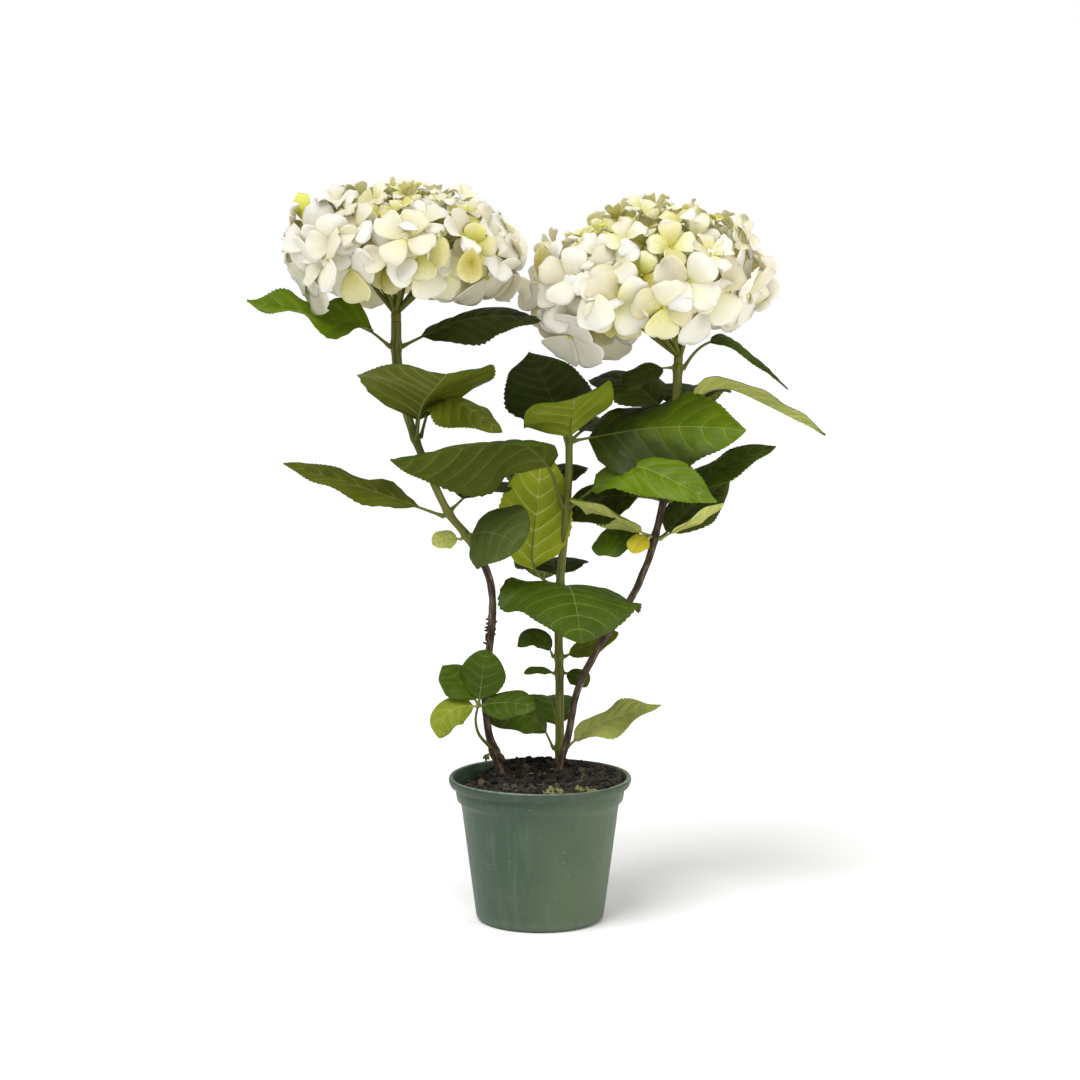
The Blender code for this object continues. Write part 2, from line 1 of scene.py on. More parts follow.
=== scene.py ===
"""Potted bigleaf hydrangea: its looks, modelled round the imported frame.

Metres, +Z up, the front faces -Y. Every stem, leaf and flower head follows the rule of the part's source
and springs from the same joint, though some leaves are turned or lengthened a little against their solids.
All are finer: toothed and veined blades, florets of single petals, furrowed bark and loose soil.
"""

import math
import random
from typing import NamedTuple

import bmesh
import bpy
import numpy as np
from bpy.props import FloatProperty, FloatVectorProperty, IntProperty, PointerProperty, StringProperty
from bpy.types import Operator, Panel, PropertyGroup
from mathutils import Matrix, Vector, noise


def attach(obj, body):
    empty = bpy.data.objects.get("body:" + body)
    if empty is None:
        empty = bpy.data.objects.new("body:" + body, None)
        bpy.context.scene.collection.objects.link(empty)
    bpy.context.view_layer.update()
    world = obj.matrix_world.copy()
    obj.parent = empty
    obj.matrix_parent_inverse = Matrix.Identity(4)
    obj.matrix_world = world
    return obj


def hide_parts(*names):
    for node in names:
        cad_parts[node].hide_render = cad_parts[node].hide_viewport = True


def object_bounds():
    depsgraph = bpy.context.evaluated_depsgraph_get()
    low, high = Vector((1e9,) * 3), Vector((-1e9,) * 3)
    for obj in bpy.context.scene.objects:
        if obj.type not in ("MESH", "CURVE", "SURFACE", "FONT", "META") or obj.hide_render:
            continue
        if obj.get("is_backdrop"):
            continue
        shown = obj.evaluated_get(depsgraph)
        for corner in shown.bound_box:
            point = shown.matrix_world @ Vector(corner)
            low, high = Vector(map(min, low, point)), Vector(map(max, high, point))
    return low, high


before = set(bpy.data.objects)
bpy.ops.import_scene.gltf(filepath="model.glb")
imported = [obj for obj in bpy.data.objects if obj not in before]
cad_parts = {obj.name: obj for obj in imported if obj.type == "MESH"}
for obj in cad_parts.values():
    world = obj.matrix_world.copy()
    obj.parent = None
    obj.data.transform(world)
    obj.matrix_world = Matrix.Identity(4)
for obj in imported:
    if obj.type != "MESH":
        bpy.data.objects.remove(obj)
CAD_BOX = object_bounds()

bl_info = {
    "name": "Potted hydrangea",
    "version": (1, 0, 0),
    "blender": (4, 5, 0),
    "location": "3D View > Sidebar > Hydrangea",
    "description": "Models a potted bigleaf hydrangea with two flower heads, piece by piece",
    "category": "Add Mesh",
}

# Radians: the turn from one floret to the next, and the range of a turn drawn by chance
GOLDEN_TURN = math.pi * (3 - math.sqrt(5))
ANY_TURN = 6.28

# The pot's collar and lip, measured down from its rim
POT_STEPS = 144
COLLAR_HEIGHT = 0.024
COLLAR_STEP = 0.0056
LIP_OVERHANG = 0.0055
LIP_HEIGHT = 0.009
FOOT_BEVEL = 0.004
POT_WALL = 0.0016

# Soil: its middle, its rise to the back, and where crumbs, moss, a second patch of mossy crumbs and the clods
# at the back lie
SOIL_TOP = 0.1245
SOIL_STEPS = 120
SOIL_RINGS = 46
SOIL_HEAP = 0.0088
STEM_MOUND = 0.011
BIG_CRUMB_EVERY = 9
BACK_CLOD_EVERY = 16
MOSSY_CRUMB_EVERY = 23
CRUMB_SPREAD = 0.0715
FIBRE_SPREAD = 0.062
MOSS_PATCH = (0.010, -0.042)
SCRAP_PATCH = (0.043, -0.034)
BACK_CLODS = (-0.012, 0.062)
TWIG_STEPS = 12
FIBRES = 26
FIBRE_RADII = (0.00034, 0.00042, 0.00042, 0.0004, 0.0003)

# Stems: where they start under the soil, and how they swell at their foot and at the joints
STEM_FOOT = 0.119
STEM_STEPS = 260
FLARE_HEIGHT = 0.014
JOINT_SWELLING = 0.26
JOINT_REACH = 0.0042
SHOOT_SWELLING = 0.55
SHOOT_REACH = 0.0065
CLEAR = 0.0003
# Tufts of shreds on the left stem: height, count, reach, and the side in degrees
BARK_SHREDS = ((0.264, 16, 0.0026, 180), (0.252, 14, 0.0030, 195), (0.262, 8, 0.0022, 5))

# Leaves
SPINE_STEPS = 40
OUTLINE_BASE = 0.62
OUTLINE_TIP = 0.90
OUTLINE_SMALL_TIP = 0.66
LEAF_END_HALF_WIDTH = 0.0004
FIRST_VEIN = 0.05
LAST_VEIN = 0.86
VEIN_SWEEP = 0.62
VEIN_REACH = 0.86
COLUMNS_A_SIDE = 15
SMALL_LEAF = 0.071
SHADE_STEPS = 6
BLEND_STEPS = 8
MIDRIB_HALF_WIDTH = 0.0008
VEIN_HALF_WIDTH = 0.00042
COLLAR_REACH = 0.0018

# Petals
PETAL_STEPS = 9
MARK_STEPS = 20
OUTER_DEPTHS = (0.90, 1.05)
INNER_DEPTHS = (0.62, 0.80)
CROWN_DEPTHS = (0.80, 0.92)
CROWN_HEIGHT = 0.45
BUD_REACH = 0.0052
# Share of a marked petal's width that is kept clear, and the gap to the right of the left stem's fork
MARK_CLEARING = 0.55
FORK_GAP = (0.002, 0.034)
# Where young florets gather: how far to the right of a head's middle, and how wide
POCKET_SHIFT = 0.010
POCKET_WIDTH = 0.052

# Rays and stalks that carry the florets
RAYS = 9
RAY_STEPS = 8
STALK_STEPS = 6
FORK_RISE = 0.008

# Floor of the stage
FLOOR_RADIUS = 14.0
FLOOR_DROP = 0.0004
FLOOR_COLOURS = ((0.935, 0.935, 0.930), (0.945, 0.945, 0.940))

# Petal colours from the greenest to the whitest, dealt in this many shades, each also in darker mixes of
# painted shade
PETAL_RAMP = (
    (0.42, 0.395, 0.035),
    (0.56, 0.530, 0.105),
    (0.69, 0.660, 0.225),
    (0.79, 0.755, 0.400),
    (0.850, 0.815, 0.585),
    (0.882, 0.852, 0.705),
    (0.898, 0.870, 0.775),
)
RAMP_SHADES = 16
DARKEST_PETAL_SHADE = (0.77, 0.728, 0.64)
PETAL_SHADE_MIXES = 5
# Colours of faded petals, from the olive spot to the pale rim, and of young lime ones
FADED_PETALS = (
    (0.20, 0.16, 0.008),
    (0.31, 0.26, 0.026),
    (0.41, 0.345, 0.060),
    (0.47, 0.40, 0.115),
    (0.55, 0.48, 0.190),
    (0.66, 0.60, 0.330),
)
FADED_SHADES = 14
LIME_PETALS = ((0.56, 0.58, 0.075), (0.68, 0.69, 0.140))

# Colours of the small parts
FLECK_COLOUR = (0.075, 0.055, 0.020)
YOUNG_BUD_COLOUR = (0.150, 0.165, 0.030)
RAY_COLOUR = (0.135, 0.140, 0.022)
FLORET_STALK_COLOUR = (0.420, 0.440, 0.110)
LEAF_STALK_COLOUR = (0.130, 0.155, 0.026)
PALE_STALK_COLOUR = (0.270, 0.290, 0.085)
HEART_COLOURS = (("flower_heart_green", (0.42, 0.46, 0.06)), ("flower_heart_cream", (0.74, 0.70, 0.36)))
CRUMB_COLOURS = (
    ("crumb_dark", (0.012, 0.0085, 0.006)),
    ("crumb_brown", (0.040, 0.026, 0.014)),
    ("crumb_tan", (0.110, 0.080, 0.042)),
    ("crumb_moss", (0.260, 0.270, 0.090)),
)
DEAD_TWIG_COLOUR = (0.24, 0.205, 0.125)
FIBRE_COLOUR = (0.085, 0.055, 0.030)


class Limb(NamedTuple):
    """One tapering stem: the places it passes, from its foot, its radii, and the height where it turns green.

    Its old wood is thinner by the share slimmer, up to the height full_from.
    """

    name: str
    places: tuple
    foot_radius: float
    tip_radius: float
    green_from: float
    slimmer: float
    full_from: float


class Leaf(NamedTuple):
    """One leaf. Angles are in degrees, sizes in metres, as in the part's source.

    tone names the colours of its upper face, and under those of its lower face. base names darker colours
    dealt nearest the stalk, where they differ: painted shade, standing in for the shadow over that part of
    the leaf.
    """

    turn: float
    length: float
    width: float
    stalk: float = 0.020
    lift: float = 35.0
    droop: float = 50.0
    bend: tuple = (0.1, 1.0)
    roll: float = 0.0
    fold: float = 12.0
    curl: float = 30.0
    wave: float = 0.10
    tone: str = "deep"
    under: str = "olive"
    base: str = ""


class LeafMass(NamedTuple):
    """Leaves that share one joint of a stem, at that height."""

    name: str
    limb: str
    height: float
    leaves: tuple


class Mark(NamedTuple):
    """One petal that stands out on a flower head: its middle, size, its tip's lean to +X, and its kind."""

    place: tuple
    length: float
    width: float
    lean: float
    kind: str


class FlowerHead(NamedTuple):
    """A dome of florets on the tip of a limb. tilt leans its crown to +X, in degrees.

    green is how young its florets are, and lobes the (direction, share) by which the dome swells or sinks.
    marks are its single petals that stand out, and buds the places of half-open florets.
    """

    name: str
    limb: str
    centre: tuple
    radii: tuple
    tilt: float
    lowest_angle: float
    petal: float
    seed: int
    green: float
    lobes: tuple
    marks: tuple
    buds: tuple


LIMBS = (
    Limb(
        "left_stem",
        (
            (-0.034, 0.030, 0.100),
            (-0.038, 0.030, 0.135),
            (-0.047, 0.030, 0.165),
            (-0.050, 0.030, 0.205),
            (-0.045, 0.029, 0.250),
            (-0.043, 0.027, 0.288),
            (-0.049, 0.023, 0.316),
            (-0.067, 0.016, 0.348),
            (-0.083, 0.010, 0.370),
            (-0.103, 0.003, 0.415),
            (-0.117, -0.002, 0.455),
            (-0.126, -0.004, 0.500),
            (-0.127, -0.004, 0.540),
        ),
        0.0046,
        0.0046,
        0.330,
        0.24,
        0.490,
    ),
    Limb(
        "middle_stem",
        (
            (0.018, 0.049, 0.100),
            (0.018, 0.048, 0.145),
            (0.018, 0.046, 0.200),
            (0.017, 0.043, 0.260),
            (0.019, 0.040, 0.310),
            (0.023, 0.036, 0.355),
            (0.026, 0.033, 0.400),
            (0.026, 0.031, 0.436),
        ),
        0.0046,
        0.0032,
        0.135,
        0.06,
        0.300,
    ),
    Limb(
        "right_stem",
        (
            (0.011, 0.025, 0.100),
            (0.019, 0.024, 0.137),
            (0.026, 0.022, 0.165),
            (0.034, 0.020, 0.205),
            (0.054, 0.019, 0.246),
            (0.081, 0.020, 0.287),
            (0.097, 0.022, 0.322),
            (0.105, 0.025, 0.350),
            (0.114, 0.028, 0.390),
            (0.121, 0.031, 0.440),
            (0.124, 0.033, 0.500),
        ),
        0.0042,
        0.0042,
        0.440,
        0.20,
        0.470,
    ),
)

LEAF_MASSES = (
    LeafMass(
        "left_top_leaves",
        "left_stem",
        0.518,
        (
            Leaf(
                193, 0.114, 0.062, 0.020, 40, 28, (0.05, 0.35),
                roll=24, fold=20, curl=20, wave=0.30, tone="bright",
            ),
            Leaf(4, 0.110, 0.080, 0.020, 26, 36, roll=-16, fold=10, curl=44, wave=0.12),
        ),
    ),
    LeafMass(
        "left_upper_leaves",
        "left_stem",
        0.436,
        (
            Leaf(
                -72, 0.100, 0.130, 0.020, 70, 49, (0.05, 0.45),
                fold=26, curl=16, wave=0.04, tone="mid", under="moss",
            ),
            Leaf(
                -20, 0.080, 0.084, 0.026, 74, 106, (0.1, 0.62),
                roll=-8, fold=-4, curl=14, tone="fresh", under="clear",
            ),
            Leaf(86, 0.112, 0.080, 0.024, 46, 60),
        ),
    ),
    LeafMass(
        "left_middle_leaves",
        "left_stem",
        0.368,
        (
            Leaf(180, 0.126, 0.060, 0.024, 20, 4, roll=16, fold=14, curl=26, tone="moss"),
            Leaf(52, 0.070, 0.052, 0.018, 28, 40, roll=-6),
        ),
    ),
    LeafMass(
        "left_lower_leaves",
        "left_stem",
        0.347,
        (
            Leaf(-46, 0.066, 0.070, 0.002, 14, 30, (0.0, 0.8), roll=-50, fold=4, curl=20, tone="dusty"),
            Leaf(196, 0.024, 0.022, 0.003, 8, 40, roll=45, tone="pale", under="pale"),
        ),
    ),
    LeafMass(
        "middle_top_leaves",
        "middle_stem",
        0.431,
        (
            Leaf(-86, 0.062, 0.092, 0.007, 50, 26, roll=-20, fold=18, curl=10, tone="mid", under="clear"),
            # Its deep base tone is painted shadow, standing in for the shade that falls across this leaf's
            # lower part
            Leaf(
                -20, 0.148, 0.104, 0.014, 12, 16,
                roll=-50, fold=-12, curl=16, wave=0.20, tone="bright", base="deep",
            ),
            Leaf(124, 0.082, 0.086, 0.016, 58, 14, roll=14, fold=10, under="deep"),
            Leaf(62, 0.098, 0.076, 0.020, 18, 50, roll=-10, under="deep"),
        ),
    ),
    LeafMass(
        "middle_upper_leaves",
        "middle_stem",
        0.372,
        (
            Leaf(
                208, 0.166, 0.102, 0.038, 71, 77, (0.06, 0.52),
                roll=-34, fold=-22, curl=10, wave=0.12, tone="mid",
            ),
            Leaf(
                -34, 0.142, 0.052, 0.026, 36, 56, (0.25, 0.62),
                roll=-44, fold=8, curl=24, wave=0.18, tone="bright",
            ),
            Leaf(106, 0.112, 0.078, 0.026, 38, 76, (0.1, 0.8)),
        ),
    ),
    LeafMass(
        "middle_lower_leaves",
        "middle_stem",
        0.297,
        (
            Leaf(
                -80, 0.100, 0.132, 0.014, 14, 66, (0.05, 0.9),
                roll=6, fold=6, curl=24, wave=0.16, tone="mid",
            ),
            Leaf(
                184, 0.112, 0.068, 0.026, 30, -66, (0, 0.32),
                roll=-80, fold=6, curl=10, tone="sunlit", under="sunlit",
            ),
            Leaf(98, 0.094, 0.070, 0.018, 26, 70),
        ),
    ),
    LeafMass(
        "middle_small_leaves",
        "middle_stem",
        0.232,
        (
            Leaf(184, 0.040, 0.026, 0.006, 68, 120, (0.1, 1.0), roll=34, tone="mid"),
            Leaf(-6, 0.050, 0.028, 0.004, 27, 6, (0.2, 1.0), roll=-40, tone="fresh"),
        ),
    ),
    LeafMass(
        "middle_tiny_leaves",
        "middle_stem",
        0.217,
        (
            Leaf(202, 0.028, 0.014, 0.002, 20, 40, roll=20, tone="mid"),
            Leaf(-30, 0.024, 0.022, 0.003, 0, 60, roll=-30, tone="mid"),
        ),
    ),
    LeafMass(
        "middle_foot_leaves",
        "middle_stem",
        0.146,
        (
            Leaf(186, 0.062, 0.044, 0.016, 66, 76, (0.1, 0.8), roll=30, fold=10, tone="mid"),
            Leaf(
                -4, 0.088, 0.041, 0.010, 42, 26, (0.1, 0.6),
                roll=-30, fold=12, wave=0.30, tone="pale", under="pale",
            ),
            Leaf(98, 0.070, 0.048, 0.024, 48, 60, tone="mid"),
        ),
    ),
    LeafMass(
        "right_top_leaves",
        "right_stem",
        0.450,
        (
            Leaf(
                -12, 0.132, 0.052, 0.020, 62, 88, (0.0, 0.5),
                roll=18, fold=24, curl=20, tone="mid", under="pale",
            ),
            Leaf(152, 0.078, 0.068, 0.016, 46, 56, roll=16),
            Leaf(74, 0.104, 0.072, 0.024, 32, 70),
        ),
    ),
    LeafMass(
        "right_high_leaves",
        "right_stem",
        0.4965,
        (
            Leaf(18, 0.092, 0.040, 0.034, 56, 96, (0.0, 0.6), roll=-16, fold=14, tone="mid"),
            Leaf(206, 0.044, 0.034, 0.010, 0, 50, roll=20),
        ),
    ),
    LeafMass(
        "right_middle_leaves",
        "right_stem",
        0.378,
        (
            Leaf(10, 0.094, 0.054, 0.016, 34, 18, roll=-18, fold=14, tone="mid"),
            Leaf(164, 0.080, 0.066, 0.018, 4, 36, roll=32, fold=6),
            Leaf(96, 0.104, 0.072, 0.022, 30, 70),
        ),
    ),
    LeafMass(
        "right_lower_leaves",
        "right_stem",
        0.344,
        (
            Leaf(188, 0.074, 0.044, 0.008, 28, 4, roll=-24, fold=10, tone="fresh", under="pale"),
            Leaf(-20, 0.058, 0.030, 0.010, 32, 4, roll=14, fold=12, tone="dusty", under="pale"),
            Leaf(22, 0.076, 0.050, 0.010, 42, 14, roll=-34, fold=10, tone="dusty", under="dusty"),
            Leaf(214, 0.022, 0.022, 0.003, -14, 50, roll=30, tone="yellow", under="yellow"),
            Leaf(154, 0.050, 0.046, 0.010, 0, 30, roll=38, fold=6, tone="bright", base="mid"),
        ),
    ),
)

# The side shoot that springs from the left stem's foot
FOOT_SHOOT_HEIGHT = 0.150
FOOT_SHOOT_PLACES = ((-0.055, 0.010, 0.166), (-0.058, 0.002, 0.182), (-0.055, -0.002, 0.197))
FOOT_SHOOT_RADIUS = 0.0013
FOOT_SHOOT_STEPS = 12
FOOT_SHOOT_LEAVES = (
    Leaf(20, 0.046, 0.042, 0.004, 82, 0, roll=-60, fold=8, tone="mid"),
    Leaf(150, 0.044, 0.040, 0.006, 46, 14, roll=24, fold=8, tone="mid", under="young"),
    Leaf(194, 0.050, 0.036, 0.004, 2, 92, roll=36, fold=6, tone="young", under="young"),
    Leaf(-30, 0.056, 0.034, 0.004, 14, 24, roll=-40, fold=6, tone="mid"),
)

FLOWER_HEADS = (
    FlowerHead(
        "left_flower_head",
        "left_stem",
        centre=(-0.1185, -0.006, 0.601),
        radii=(0.090, 0.082, 0.050),
        tilt=2,
        lowest_angle=117,
        petal=0.031,
        seed=7,
        green=0.22,
        lobes=(((-0.82, -0.1, 0.55), 0.17), ((-0.2, -0.2, 1.0), 0.03), ((0.75, 0, 0.6), -0.06)),
        marks=(
            Mark((-0.2085, -0.006, 0.6405), 0.026, 0.020, -25, "lime"),
            Mark((-0.1930, -0.034, 0.6270), 0.037, 0.036, -8, "white"),
            Mark((-0.0600, -0.084, 0.5910), 0.030, 0.026, 188, "faded"),
            Mark((-0.0870, -0.083, 0.6030), 0.034, 0.021, 176, "white"),
        ),
        buds=((-0.118, -0.022, 0.6585), (-0.100, 0.030, 0.655)),
    ),
    FlowerHead(
        "right_flower_head",
        "right_stem",
        centre=(0.0985, 0.028, 0.571),
        radii=(0.091, 0.088, 0.063),
        tilt=-9,
        lowest_angle=122,
        petal=0.031,
        seed=21,
        green=0.46,
        lobes=(
            ((0.16, 0, 1.0), 0.09),
            ((-0.42, 0, 0.9), -0.07),
            ((-0.80, -0.1, 0.60), 0.15),
            ((-0.6, -0.6, -0.5), 0.07),
        ),
        marks=(
            Mark((0.0040, 0.006, 0.5900), 0.040, 0.023, 4, "faded"),
            Mark((0.0470, -0.062, 0.5520), 0.037, 0.038, 168, "white"),
        ),
        buds=((0.054, -0.020, 0.621), (0.120, 0.060, 0.630)),
    ),
)

# Each tone's colours, as plain base colours: shaded, even and lit tissue, and the veins
TONES = {
    "deep": ((0.025, 0.036, 0.004), (0.035, 0.050, 0.005), (0.049, 0.068, 0.008), (0.092, 0.112, 0.028)),
    "mid": ((0.036, 0.062, 0.003), (0.052, 0.086, 0.004), (0.070, 0.110, 0.006), (0.150, 0.180, 0.046)),
    "bright": ((0.080, 0.132, 0.003), (0.112, 0.178, 0.004), (0.150, 0.226, 0.007), (0.215, 0.265, 0.054)),
    "young": ((0.135, 0.170, 0.010), (0.180, 0.220, 0.014), (0.230, 0.270, 0.022), (0.330, 0.360, 0.080)),
    "dusty": ((0.052, 0.073, 0.013), (0.070, 0.094, 0.016), (0.090, 0.116, 0.022), (0.160, 0.180, 0.060)),
    "olive": ((0.052, 0.066, 0.005), (0.070, 0.088, 0.006), (0.094, 0.113, 0.009), (0.190, 0.200, 0.046)),
    "moss": ((0.064, 0.076, 0.004), (0.086, 0.102, 0.005), (0.112, 0.130, 0.008), (0.215, 0.225, 0.055)),
    "fresh": ((0.100, 0.125, 0.006), (0.132, 0.158, 0.009), (0.168, 0.196, 0.014), (0.290, 0.310, 0.085)),
    "clear": ((0.140, 0.175, 0.009), (0.178, 0.218, 0.012), (0.225, 0.262, 0.018), (0.390, 0.400, 0.140)),
    "sunlit": ((0.230, 0.275, 0.010), (0.285, 0.335, 0.014), (0.345, 0.392, 0.022), (0.520, 0.530, 0.200)),
    "pale": ((0.340, 0.365, 0.088), (0.420, 0.440, 0.115), (0.495, 0.510, 0.146), (0.580, 0.590, 0.230)),
    "yellow": ((0.400, 0.340, 0.018), (0.500, 0.430, 0.025), (0.580, 0.500, 0.042), (0.620, 0.560, 0.110)),
}


class PotSettings(PropertyGroup):
    height: FloatProperty(name="Height", description="Height of the pot", default=0.131, unit="LENGTH")
    rim_radius: FloatProperty(
        name="Rim radius", description="Radius of the lip", default=0.0825, unit="LENGTH"
    )
    base_radius: FloatProperty(
        name="Base radius", description="Radius of the foot", default=0.0575, unit="LENGTH"
    )
    colour: FloatVectorProperty(
        name="Colour",
        description="Colour of the plastic",
        default=(0.040, 0.075, 0.044),
        subtype="COLOR",
        min=0,
        max=1,
    )
    worn: FloatVectorProperty(
        name="Worn colour",
        description="Colour where the plastic is rubbed pale",
        default=(0.38, 0.42, 0.34),
        subtype="COLOR",
        min=0,
        max=1,
    )


class SoilSettings(PropertyGroup):
    lumps: FloatProperty(
        name="Lumps", description="Height of the soil's lumps", default=0.0034, unit="LENGTH"
    )
    crumbs: IntProperty(name="Crumbs", description="Number of loose crumbs", default=760, min=0)
    colour: FloatVectorProperty(
        name="Colour",
        description="Colour of damp peat",
        default=(0.0180, 0.0136, 0.0082),
        subtype="COLOR",
        min=0,
        max=1,
    )
    moss: FloatVectorProperty(
        name="Moss",
        description="Colour of the mossy patch",
        default=(0.036, 0.042, 0.009),
        subtype="COLOR",
        min=0,
        max=1,
    )


class StemSettings(PropertyGroup):
    relief: FloatProperty(
        name="Relief", description="Depth of the bark's furrows", default=0.00034, unit="LENGTH"
    )
    bark: FloatVectorProperty(
        name="Bark",
        description="Colour of the old bark",
        default=(0.078, 0.047, 0.022),
        subtype="COLOR",
        min=0,
        max=1,
    )
    shoot: FloatVectorProperty(
        name="Shoot",
        description="Colour of the green shoots",
        default=(0.080, 0.086, 0.009),
        subtype="COLOR",
        min=0,
        max=1,
    )


class LeafSettings(PropertyGroup):
    thickness: FloatProperty(
        name="Thickness", description="Thickness of a blade", default=0.0006, unit="LENGTH"
    )
    vein_pairs: IntProperty(
        name="Vein pairs", description="Side veins on each half of a leaf", default=7, min=3
    )
    teeth: IntProperty(name="Teeth", description="Teeth between two side veins", default=3, min=1)
    tooth_depth: FloatProperty(
        name="Tooth depth", description="How far a tooth stands out", default=0.0017, unit="LENGTH"
    )
    quilting: FloatProperty(
        name="Quilting", description="How far the tissue swells between veins", default=0.0011, unit="LENGTH"
    )


class FlowerSettings(PropertyGroup):
    florets: IntProperty(
        name="Florets", description="Florets on the outside of a head", default=70, min=1
    )
    inner: IntProperty(name="Inner florets", description="Florets inside a head", default=32, min=0)
    thickness: FloatProperty(
        name="Thickness", description="Thickness of a petal", default=0.0003, unit="LENGTH"
    )


class StageSettings(PropertyGroup):
    distance: FloatProperty(
        name="Distance", description="Camera's distance", default=2.45, unit="LENGTH"
    )
    height: FloatProperty(name="Height", description="Camera's height", default=0.65, unit="LENGTH")
    pitch: FloatProperty(
        name="Pitch", description="How far the camera looks down", default=math.radians(7.1), subtype="ANGLE"
    )
    lens: FloatProperty(name="Lens", description="Focal length in millimetres", default=92.17)


def select_only(*objects):
    """Goes back to object mode, with these objects as the only ones selected and the first one active."""
    if bpy.context.object and bpy.context.object.mode != "OBJECT":
        bpy.ops.object.mode_set(mode="OBJECT")
    bpy.ops.object.select_all(action="DESELECT")
    for obj in objects:
        obj.select_set(True)
    bpy.context.view_layer.objects.active = objects[0] if objects else None


def named(obj, name):
    obj.name = name
    obj.data.name = name
    return obj


def apply_modifier(obj, name, kind, **values):
    """Adds one modifier with these values and applies it."""
    select_only(obj)
    modifier = obj.modifiers.new(name, kind)
    for key, value in values.items():
        setattr(modifier, key, value)
    bpy.ops.object.modifier_apply(modifier=name)


def joined(objects, name):
    select_only(*objects)
    if len(objects) > 1:
        bpy.ops.object.join()
    return named(bpy.context.view_layer.objects.active, name)


def pattern(add, **values):
    """(points, faces) of a primitive that is added and taken away again, to be copied many times."""
    select_only()
    add(**values)
    obj = bpy.context.active_object
    places = points_of(obj)
    faces = np.array([tuple(face.vertices) for face in obj.data.polygons])
    bpy.ops.object.delete()
    return places, faces


def copies(name, shapes, numbers, materials):
    """One object made of shaped copies, each (points, faces), with a material number for every face."""
    points, faces, total = [], [], 0
    for places, pattern_faces in shapes:
        points.append(places)
        faces += (pattern_faces + total).tolist()
        total += len(places)
    mesh = bpy.data.meshes.new(name)
    mesh.from_pydata(np.concatenate(points).tolist(), [], faces)
    for material in materials:
        mesh.materials.append(material)
    mesh.polygons.foreach_set("material_index", np.concatenate(numbers).astype(np.int32))
    obj = bpy.data.objects.new(name, mesh)
    bpy.context.scene.collection.objects.link(obj)
    return obj


def clean_mesh(obj):
    """Merges doubled points and turns every face outwards."""
    select_only(obj)
    bpy.ops.object.mode_set(mode="EDIT")
    bpy.ops.mesh.select_all(action="SELECT")
    bpy.ops.mesh.remove_doubles(threshold=1e-6)
    bpy.ops.mesh.normals_make_consistent(inside=False)
    bpy.ops.object.mode_set(mode="OBJECT")


def smooth(obj, angle=None):
    select_only(obj)
    if angle is None:
        bpy.ops.object.shade_smooth()
    else:
        bpy.ops.object.shade_smooth_by_angle(angle=math.radians(angle))


def settle(obj, material_slot, *nodes):
    """Puts a finished piece on the body, in place of its solids."""
    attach(obj, "root")
    if nodes:
        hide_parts(*nodes)
    return obj


def points_of(obj):
    places = np.empty(len(obj.data.vertices) * 3)
    obj.data.vertices.foreach_get("co", places)
    return places.reshape(-1, 3)


def set_points(obj, places):
    obj.data.vertices.foreach_set("co", np.asarray(places, float).ravel())
    obj.data.update()


def normals_of(obj):
    normals = np.empty(len(obj.data.vertices) * 3)
    obj.data.vertex_normals.foreach_get("vector", normals)
    return normals.reshape(-1, 3)


def new_finish(name, roughness=0.5):
    """(material, nodes, links, shader) of a new node material whose Principled shader is still plain."""
    material = bpy.data.materials.new(name)
    material.use_nodes = True
    nodes, links = material.node_tree.nodes, material.node_tree.links
    shader = nodes["Principled BSDF"]
    shader.inputs["Roughness"].default_value = roughness
    return material, nodes, links, shader


def place_on_object(nodes, links, scale=(1.0, 1.0, 1.0)):
    """A socket with the piece's own Object coordinates, scaled."""
    where = nodes.new("ShaderNodeTexCoord")
    mapping = nodes.new("ShaderNodeMapping")
    mapping.inputs["Scale"].default_value = scale
    links.new(where.outputs["Object"], mapping.inputs["Vector"])
    return mapping.outputs["Vector"]


def grain_of(nodes, links, scale=(1.0, 1.0, 1.0)):
    """A socket with the stem's own grain: across it in X and Y, along it in Z, scaled."""
    grain = nodes.new("ShaderNodeAttribute")
    grain.attribute_name = "grain"
    mapping = nodes.new("ShaderNodeMapping")
    mapping.inputs["Scale"].default_value = scale
    links.new(grain.outputs["Vector"], mapping.inputs["Vector"])
    return mapping.outputs["Vector"]


def noise_of(nodes, links, place, scale, detail=4.0, roughness=0.55):
    texture = nodes.new("ShaderNodeTexNoise")
    texture.inputs["Scale"].default_value = scale
    texture.inputs["Detail"].default_value = detail
    texture.inputs["Roughness"].default_value = roughness
    links.new(place, texture.inputs["Vector"])
    return texture.outputs["Fac"]


def cells_of(nodes, links, place, scale, feature="DISTANCE_TO_EDGE"):
    texture = nodes.new("ShaderNodeTexVoronoi")
    texture.feature = feature
    texture.inputs["Scale"].default_value = scale
    links.new(place, texture.inputs["Vector"])
    return texture.outputs["Distance"]


def ranged(nodes, links, value, low, high, new_low, new_high):
    """The value with low..high stretched to new_low..new_high."""
    stretch = nodes.new("ShaderNodeMapRange")
    for name, number in zip(("From Min", "From Max", "To Min", "To Max"), (low, high, new_low, new_high)):
        stretch.inputs[name].default_value = number
    links.new(value, stretch.inputs["Value"])
    return stretch.outputs["Result"]


def mixed(nodes, links, factor, first, second):
    """A colour between two, each a socket or a plain (red, green, blue)."""
    mix = nodes.new("ShaderNodeMix")
    mix.data_type = "RGBA"
    links.new(factor, mix.inputs[0])
    for socket, colour in ((mix.inputs[6], first), (mix.inputs[7], second)):
        if isinstance(colour, bpy.types.NodeSocket):
            links.new(colour, socket)
        else:
            socket.default_value = (*colour, 1.0)
    return mix.outputs[2]


